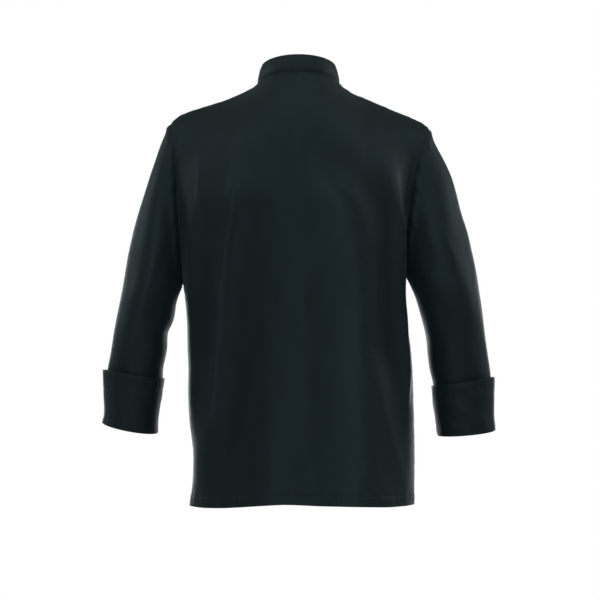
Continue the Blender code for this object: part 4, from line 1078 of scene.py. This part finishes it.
def stitches(points, normals):
    """Rings of the stitches along a line: each comes up out of the cloth and goes back in."""
    along = lengths_along(points)
    count = int(along[-1] / (STITCH + STITCH_GAP))
    starts = STITCH_GAP / 2 + np.arange(count) * along[-1] / count
    places = starts[:, None] + np.array(STITCH_PLACES) * STITCH
    centres = np.stack([np.interp(places, along, points[:, k]) for k in range(3)], axis=-1)
    ups = np.stack([np.interp(places, along, normals[:, k]) for k in range(3)], axis=-1)
    rise = np.array(STITCH_RISES) * THREAD
    return strands(centres + ups * rise[:, None], ups, THREAD)


def thread_object(name, groups, finish):
    """Strands of thread as one object."""
    vertices, faces = tubes(np.concatenate(groups))
    return add_object(name, vertices, faces, finish)


# ---- buttons and buttonholes
def button_object(name, place, normal, finish):
    """A moulded button with a raised rim, a dished middle and four holes."""
    angles = 2 * math.pi * np.arange(BUTTON_SIDES) / BUTTON_SIDES
    rim_radii, rim_heights = np.array(BUTTON_RIM).T
    face = np.linspace(0, 1, BUTTON_RINGS)[::-1] * BUTTON_FACE
    dish = mix(BUTTON_DISH, BUTTON_FACE_HEIGHT, ease((face - BUTTON_DISH_EDGE) / BUTTON_DISH_RISE))
    radii = np.concatenate((rim_radii, face)) * BUTTON_RADIUS
    heights = np.concatenate((rim_heights, dish)) * BUTTON_HEIGHT
    x, y = radii[:, None] * np.cos(angles), radii[:, None] * np.sin(angles)
    z = heights[:, None] * np.ones(BUTTON_SIDES)
    on_face = (np.arange(len(radii)) >= len(BUTTON_RIM))[:, None]
    for hole_x, hole_y in BUTTON_HOLES:
        away = np.hypot(x - hole_x, y - hole_y)
        down = ease((BUTTON_HOLE - away) / (BUTTON_HOLE * BUTTON_HOLE_WALL) + BUTTON_HOLE_START)
        z -= on_face * BUTTON_HOLE_DEPTH * down
    vertices = np.stack([x, y, z], axis=-1).reshape(-1, 3)
    faces = ring_faces(len(radii), BUTTON_SIDES).tolist() + [list(range(BUTTON_SIDES))[::-1]]
    turn = facing(normal)
    piece = add_object(name, place + vertices @ turn.T, faces, finish)
    clean = bmesh.new()
    clean.from_mesh(piece.data)
    bmesh.ops.remove_doubles(clean, verts=clean.verts, dist=1e-6)
    clean.to_mesh(piece.data)
    clean.free()
    return piece


def facing(normal):
    """Columns across, up and out of the cloth at a place with this normal."""
    across = np.cross((0, 0, 1), normal)
    across /= np.linalg.norm(across)
    return np.stack([across, np.cross(normal, across), normal], axis=1)


def button_thread(place, normal):
    """Crossed threads between a button's holes, going down into them."""
    shares = np.linspace(0, 1, BUTTON_THREAD_POINTS)
    lines = []
    for layer, (first, second) in enumerate(((0, 2), (1, 3))):
        start, end = np.array(BUTTON_HOLES[first]), np.array(BUTTON_HOLES[second])
        beside = np.array([start[1] - end[1], end[0] - start[0]])
        beside /= np.linalg.norm(beside)
        top = BUTTON_DISH * BUTTON_HEIGHT + BUTTON_THREAD * (1 + 2 * layer)
        height = top - BUTTON_THREAD_DIP * np.abs(shares * 2 - 1) ** 6
        for lane in BUTTON_THREAD_LANES:
            flat = start + (end - start) * shares[:, None] + beside * lane * BUTTON_THREAD
            lines.append(np.column_stack((flat, height)))
    turn = facing(normal)
    ups = np.broadcast_to(normal, (len(lines), BUTTON_THREAD_POINTS, 3))
    return strands(place + np.array(lines) @ turn.T, ups, BUTTON_THREAD)


def buttonhole_threads(panel, across, height):
    """The close stitching round a level buttonhole under a button."""
    middle = across - BUTTONHOLE_OFFSET
    places = np.arange(-BUTTONHOLE / 2, BUTTONHOLE / 2, BUTTONHOLE_PITCH)
    loops = [[(middle + place, height + row * away, rise) for away, rise in BUTTONHOLE_EDGE]
             for row in (1, -1) for place in places]
    half = BUTTONHOLE_BAR_HALF
    for end in (places[0] - BUTTONHOLE_PITCH, places[-1] + BUTTONHOLE_PITCH):
        loops += [[(middle + end + away, height + level, rise) for away, rise in BUTTONHOLE_BAR]
                  for level in np.arange(-half, half + THREAD / 2, BUTTONHOLE_PITCH)]
    lines, ups = [], []
    for loop in loops:
        seats = [panel.at(x, z) for x, z, _ in loop]
        lines.append([seat + normal * THREAD * rise
                      for (seat, normal), (_, _, rise) in zip(seats, loop)])
        ups.append([normal for _, normal in seats])
    return strands(np.array(lines), np.array(ups), THREAD * BUTTONHOLE_THREAD)


# ---- finishes
def wire(tree, node, inputs):
    """Gives a node's sockets values, or wires other nodes' outputs to them."""
    for name, value in inputs.items():
        if isinstance(value, bpy.types.NodeSocket):
            tree.links.new(value, node.inputs[name])
        else:
            node.inputs[name].default_value = value


def new_node(tree, kind, inputs=None, **settings):
    """A node with its settings and its sockets' values."""
    node = tree.nodes.new(kind)
    for name, value in settings.items():
        setattr(node, name, value)
    wire(tree, node, inputs or {})
    return node


def reckoned(operation, *values):
    """The output of a Math node, in the tree that its first value comes from."""
    return new_node(values[0].id_data, "ShaderNodeMath", dict(enumerate(values)),
                    operation=operation).outputs[0]


def plus(first, second):
    return reckoned("ADD", first, second)


def times(first, second):
    return reckoned("MULTIPLY", first, second)


def ranged(value, given, wanted):
    """A value moved from one range to another."""
    return new_node(value.id_data, "ShaderNodeMapRange", {
        0: value, 1: given[0], 2: given[1], 3: wanted[0], 4: wanted[1]}).outputs[0]


def noise(place, scale, detail):
    return new_node(place.id_data, "ShaderNodeTexNoise", {
        "Vector": place, "Scale": scale, "Detail": detail}).outputs[0]


def stretched(place, scale):
    return new_node(place.id_data, "ShaderNodeMapping", {
        "Vector": place, "Scale": scale}).outputs[0]


def bumped(height, strength, distance):
    """Normals tipped by a height."""
    return new_node(height.id_data, "ShaderNodeBump", {
        "Height": height, "Strength": strength, "Distance": distance}).outputs[0]


def new_group(name, inputs, outputs):
    """An empty node group with named sockets, its input node and its output node."""
    group = bpy.data.node_groups.new(name, "ShaderNodeTree")
    for label, (kind, value) in inputs.items():
        socket = group.interface.new_socket(name=label, in_out="INPUT", socket_type=kind)
        if value is not None:
            socket.default_value = value
    for label, kind in outputs.items():
        group.interface.new_socket(name=label, in_out="OUTPUT", socket_type=kind)
    return group, group.nodes.new("NodeGroupInput"), group.nodes.new("NodeGroupOutput")


def twill_group():
    """Twill weave: steep ribs of warp yarn that step over the weft, and uneven yarns. Its Shade
    darkens the dye between the ribs as painted shade and lightens it on their tops as painted light.
    """
    group, given, out = new_group("twill weave", {
        "Cloth": ("NodeSocketVector", None), "Rib": ("NodeSocketFloat", RIB),
        "Slubs": ("NodeSocketFloat", SLUBS)},
        {"Height": "NodeSocketFloat", "Shade": "NodeSocketFloat"})
    cloth, rib, slubs = (given.outputs[name] for name in ("Cloth", "Rib", "Slubs"))
    across, along = new_node(group, "ShaderNodeSeparateXYZ", {0: cloth}).outputs[:2]
    slope = plus(across, times(along, TWILL_SLOPE))
    turns = reckoned("DIVIDE", times(slope, 2 * math.pi), rib)
    ribs = reckoned("SINE", plus(turns, times(noise(cloth, *DRIFT_NOISE), TWILL_DRIFT)))
    floats = reckoned("DIVIDE", times(along, 2 * math.pi * TWILL_FLOATS), rib)
    steps = reckoned("SINE", plus(floats, times(turns, 0.5)))
    relief = plus(times(ribs, RIB_SHARE), times(steps, STEP_SHARE))
    uneven = reckoned("SUBTRACT", noise(stretched(cloth, YARN_GRAIN), 1.0, 1.0), 0.5)
    height = plus(plus(relief, 0.5), times(uneven, slubs))
    wire(group, out, {"Height": height, "Shade": ranged(height, (0.0, 1.0), WEAVE_SHADE)})
    return group


def dye_group():
    """Uneven dye: broad clouds, small specks of undyed fibre, paler cloth where it is worn, and the
    folds' painted light: paler crests as a painted highlight, darker hollows as painted shade.
    """
    group, given, out = new_group("dyed cloth", {
        "Dye": ("NodeSocketColor", DYE), "Place": ("NodeSocketVector", None),
        "Shade": ("NodeSocketFloat", 1.0), "Wear And Fold Light": ("NodeSocketFloat", 0.0),
        "Clouds": ("NodeSocketFloat", CLOUDS), "Fading": ("NodeSocketFloat", 0.4)},
        {"Colour": "NodeSocketColor", "Lint": "NodeSocketFloat"})
    given = given.outputs
    broad, fine = (noise(given["Place"], *scale) for scale in (BROAD_CLOUDS, FINE_SPECKS))
    both = plus(times(broad, CLOUD_SHARES[0]), times(fine, CLOUD_SHARES[1]))
    cloud = times(reckoned("SUBTRACT", both, 0.5), given["Clouds"])
    tone = times(plus(times(cloud, CLOUD_SPREAD), 1.0), given["Shade"])
    # the mask holds real wear and the painted light and shade of the folds
    worn = times(given["Wear And Fold Light"], given["Fading"])
    tone = times(tone, plus(times(worn, ranged(fine, SCUFF_RANGE, (SCUFFS, 1.0))), 1.0))
    colour = new_node(group, "ShaderNodeVectorMath", {0: given["Dye"], "Scale": tone},
                      operation="SCALE").outputs[0]
    wire(group, out, {"Colour": colour, "Lint": ranged(fine, LINT_RANGE, (-LINT, LINT))})
    return group


def placed(tree, group, inputs):
    """The outputs of a node group in a material."""
    return new_node(tree, "ShaderNodeGroup", inputs, node_tree=group).outputs


def new_finish(name):
    """A material, its nodes, its shader and the place on the piece."""
    made = bpy.data.materials.new(name)
    made.use_nodes = True
    tree = made.node_tree
    place = new_node(tree, "ShaderNodeTexCoord").outputs["Object"]
    return made, tree, tree.nodes["Principled BSDF"], place


def twill(groups, name, clouds, fading, tone):
    """Dark polyester-cotton twill with a slight sheen."""
    made, tree, shader, place = new_finish(name)
    cloth = new_node(tree, "ShaderNodeUVMap", uv_map="cloth").outputs[0]
    # real wear on edges and painted highlight and shade of the folds, in one mask
    wear_and_fold_light = new_node(tree, "ShaderNodeAttribute", attribute_name="wear_and_fold_light").outputs["Fac"]
    weave = placed(tree, groups["twill"], {"Cloth": cloth, "Rib": RIB, "Slubs": SLUBS})
    dyed = placed(tree, groups["dye"], {
        "Dye": [channel * tone for channel in DYE[:3]] + [1], "Place": place,
        "Shade": weave["Shade"], "Wear And Fold Light": wear_and_fold_light, "Clouds": clouds, "Fading": fading})
    rough = plus(times(weave["Height"], -RIB_POLISH), CLOTH_ROUGHNESS)
    rough = plus(plus(rough, dyed["Lint"]), times(wear_and_fold_light, -CLOTH_POLISH))
    wire(tree, shader, {
        "Base Color": dyed["Colour"], "Roughness": rough,
        "Normal": bumped(weave["Height"], WEAVE_BUMP, WEAVE_DEPTH),
        "Specular IOR Level": CLOTH_SPECULAR, "Specular Tint": GLEAM_TINT, "Sheen Weight": SHEEN,
        "Sheen Roughness": SHEEN_ROUGHNESS, "Sheen Tint": SHEEN_TINT})
    return made


def sewing_thread(groups):
    """Spun polyester thread in the cloth's colour, with its twist."""
    made, tree, shader, place = new_finish("sewing thread")
    dyed = placed(tree, groups["dye"], {
        "Dye": THREAD_DYE, "Place": place, "Clouds": THREAD_CLOUDS, "Fading": 0.0})
    twist = new_node(tree, "ShaderNodeTexWave", {
        "Vector": place, "Scale": TWIST, "Distortion": 1.0},
        wave_type="BANDS", bands_direction="DIAGONAL").outputs["Fac"]
    wire(tree, shader, {
        "Base Color": dyed["Colour"], "Normal": bumped(twist, TWIST_BUMP, TWIST_DEPTH),
        "Roughness": plus(times(twist, -TWIST_POLISH), THREAD_ROUGHNESS),
        "Specular IOR Level": THREAD_SPECULAR, "Specular Tint": GLEAM_TINT})
    return made


def button_plastic(groups):
    """Moulded black plastic with faint flow marks and fine scratches from washing."""
    made, tree, shader, place = new_finish("button plastic")
    dyed = placed(tree, groups["dye"], {
        "Dye": BUTTON_BLACK, "Place": place, "Clouds": BUTTON_CLOUDS, "Fading": 0.0})
    marks = noise(stretched(place, FLOW_GRAIN), 1.0, 3.0)
    wire(tree, shader, {
        "Base Color": dyed["Colour"], "Normal": bumped(marks, SCRATCH_BUMP, SCRATCH_DEPTH),
        "Roughness": ranged(marks, SCRATCH_RANGE, BUTTON_ROUGHNESS),
        "Specular IOR Level": BUTTON_SPECULAR})
    return made


def pale_floor():
    """Matt pale studio floor, very slightly uneven."""
    made, tree, shader, place = new_finish("pale floor")
    darker = [channel * FLOOR_SHADE for channel in FLOOR_PALE[:3]] + [1]
    pale = new_node(tree, "ShaderNodeMix", {
        0: noise(place, *FLOOR_NOISE), 6: FLOOR_PALE, 7: darker}, data_type="RGBA").outputs[2]
    wire(tree, shader, {"Base Color": pale, "Roughness": FLOOR_ROUGHNESS,
                        "Specular IOR Level": FLOOR_SPECULAR})
    return made


def make_finishes():
    """The jacket's materials by what they are on."""
    groups = {"twill": twill_group(), "dye": dye_group()}
    finishes = {part: twill(groups, *look) for part, look in CLOTHS.items()}
    return finishes | {"thread": sewing_thread(groups), "buttons": button_plastic(groups)}


# ---- studio
def add_camera():
    """Level camera behind the jacket, at the middle of its height."""
    camera = bpy.data.objects.new("camera", bpy.data.cameras.new("camera"))
    camera.location = (0, CAMERA_DISTANCE, CAMERA_HEIGHT)
    camera.rotation_euler = (math.pi / 2, 0, math.pi)
    camera.data.sensor_width = SENSOR
    camera.data.lens = SENSOR * CAMERA_DISTANCE / FRAME_WIDTH
    bpy.context.scene.collection.objects.link(camera)
    bpy.context.scene.camera = camera


def add_lights():
    for name, place, aim, width, height, watts in LIGHTS:
        lamp = bpy.data.lights.new(name, "AREA")
        lamp.shape, lamp.size, lamp.size_y, lamp.energy = "RECTANGLE", width, height, watts
        item = bpy.data.objects.new(name, lamp)
        item.location = place
        item.rotation_euler = (Vector(aim) - Vector(place)).to_track_quat("-Z", "Y").to_euler()
        bpy.context.scene.collection.objects.link(item)


def add_sky():
    """Even light from all round, plain white where the camera sees it."""
    world = bpy.data.worlds.new("studio")
    bpy.context.scene.world = world
    world.use_nodes = True
    tree = world.node_tree
    tree.nodes.clear()
    seen = new_node(tree, "ShaderNodeLightPath").outputs["Is Camera Ray"]
    strength = ranged(seen, (0.0, 1.0), (SKY, 1.0))
    sky = new_node(tree, "ShaderNodeBackground", {"Color": (1, 1, 1, 1), "Strength": strength})
    out = tree.nodes.new("ShaderNodeOutputWorld")
    tree.links.new(sky.outputs[0], out.inputs["Surface"])


def add_floor():
    """A round pale floor below the jacket."""
    angles = 2 * math.pi * np.arange(FLOOR_SIDES) / FLOOR_SIDES
    level = np.full(FLOOR_SIDES, FLOOR_HEIGHT)
    rings = [np.column_stack((radius * np.cos(angles), radius * np.sin(angles), level))
             for radius in np.linspace(FLOOR_MIDDLE, FLOOR_RADIUS, FLOOR_RINGS)]
    faces = ring_faces(FLOOR_RINGS, FLOOR_SIDES).tolist() + [list(range(FLOOR_SIDES))[::-1]]
    add_object("floor", np.concatenate(rings), faces, pale_floor())


# ---- making the jacket
def belongs(piece, slot, *nodes):
    """Hangs a piece on the jacket and hides the solids that it stands for. slot is not used."""
    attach(piece, "root")
    if nodes:
        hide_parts(*nodes)
    return piece


def declare_cloth(panel, ends=SEAM_ALLOWANCE):
    """Works out the flat size that a piece was cut to, and keeps it nowhere. ends is cut beyond its
    top and bottom.
    """
    width, length = panel.across.max() + 2 * SEAM_ALLOWANCE, panel.down.max() + 2 * ends
    min(panel.area() * CUT_MARGIN, width * length)


def cloth_piece(name, shell, thickness, finish, *nodes):
    return belongs(cloth_object(name, shell, thickness, finish), "jacket_twill", *nodes)


def thread_piece(name, groups, finishes):
    return belongs(thread_object(name, groups, finishes["thread"]), "jacket_twill")


def add_body(finishes):
    """The back and both fronts with their hems. Gives the front that the buttons sit on."""
    panels = {
        "back": body_panel(BACK, -1, 1, BODY_SEAMS["back"]),
        "front_left": body_panel(FRONT, -LAP_SHARE, 1, BODY_SEAMS["front_left"]),
        "front_right": body_panel(FRONT, -1, LAP_SHARE, BODY_SEAMS["front_right"], sink=under_lap),
    }
    for name, panel in panels.items():
        shell, hem = turned_in(panel, BODY_SEAMS[name]), hem_band(panel)
        piece = cloth_piece(name, shell, CLOTH, finishes["body"], name)
        turned = cloth_piece(name + "_hem", hem, HEM_CLOTH, finishes["hem"])
        rows = [stitches(*panel.line("bottom", HEM_STITCH))]
        rows += [stitches(*panel.line(edge, EDGE_STITCH, trim=STITCH_TRIM))
                 for edge in ("start", "end") if edge not in BODY_SEAMS[name]]
        seam = thread_piece(name + "_topstitch", rows, finishes)
        declare_cloth(panel)
        declare_cloth(hem, ends=0)
    return panels["front_left"]


def add_sleeves(finishes):
    for side, word in SIDE_WORDS.items():
        sleeve, cuff = "sleeve_" + word, "cuff_" + word
        panel = sleeve_panel(side)
        shell = turned_in(panel, ["top"])
        piece = cloth_piece(sleeve, shell, CLOTH, finishes["sleeve"], sleeve)
        declare_cloth(panel)
        panel = cuff_panel(side)
        piece = cloth_piece(cuff, panel, DOUBLED, finishes["cuff"], cuff)
        rows = [stitches(*panel.line("top", place)) for place in CUFF_STITCHES]
        seam = thread_piece(cuff + "_topstitch", rows, finishes)
        declare_cloth(panel)


def add_collar(finishes):
    panel = collar_panel()
    shell = turned_in(panel, ["top"], tuck=COLLAR_TUCK)
    piece = cloth_piece("collar", shell, DOUBLED, finishes["collar"], "collar")
    rows = [stitches(*panel.line("bottom", COLLAR_STITCH)),
            stitches(*panel.line("top", COLLAR_FOOT_STITCH))]
    seam = thread_piece("collar_topstitch", rows, finishes)
    declare_cloth(panel)


def add_buttons(front, finishes):
    """Buttons on the outer front in two columns, and buttonholes under the wearer's right one."""
    holes = []
    for side, word in SIDE_WORDS.items():
        for number in range(BUTTON_ROWS):
            name = f"button_{word}_{number + 1}"
            low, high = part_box(name)
            across, height = (low.x + high.x) / 2, (low.z + high.z) / 2
            place, normal = front.at(across, height)
            place = place + normal * BUTTON_LIFT
            button = button_object(name, place, normal, finishes["buttons"])
            belongs(button, "button_plastic", name)
            thread_piece(name + "_thread", [button_thread(place, normal)], finishes)
            if side == RIGHT:
                holes.append(buttonhole_threads(front, across, height))
    thread_piece("buttonholes", holes, finishes)


def main():
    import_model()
    bpy.context.scene.view_settings.view_transform = "Standard"
    finishes = make_finishes()
    front = add_body(finishes)
    add_sleeves(finishes)
    add_collar(finishes)
    add_buttons(front, finishes)
    add_floor()
    add_sky()
    add_lights()
    add_camera()
    bpy.context.view_layer.update()


main()
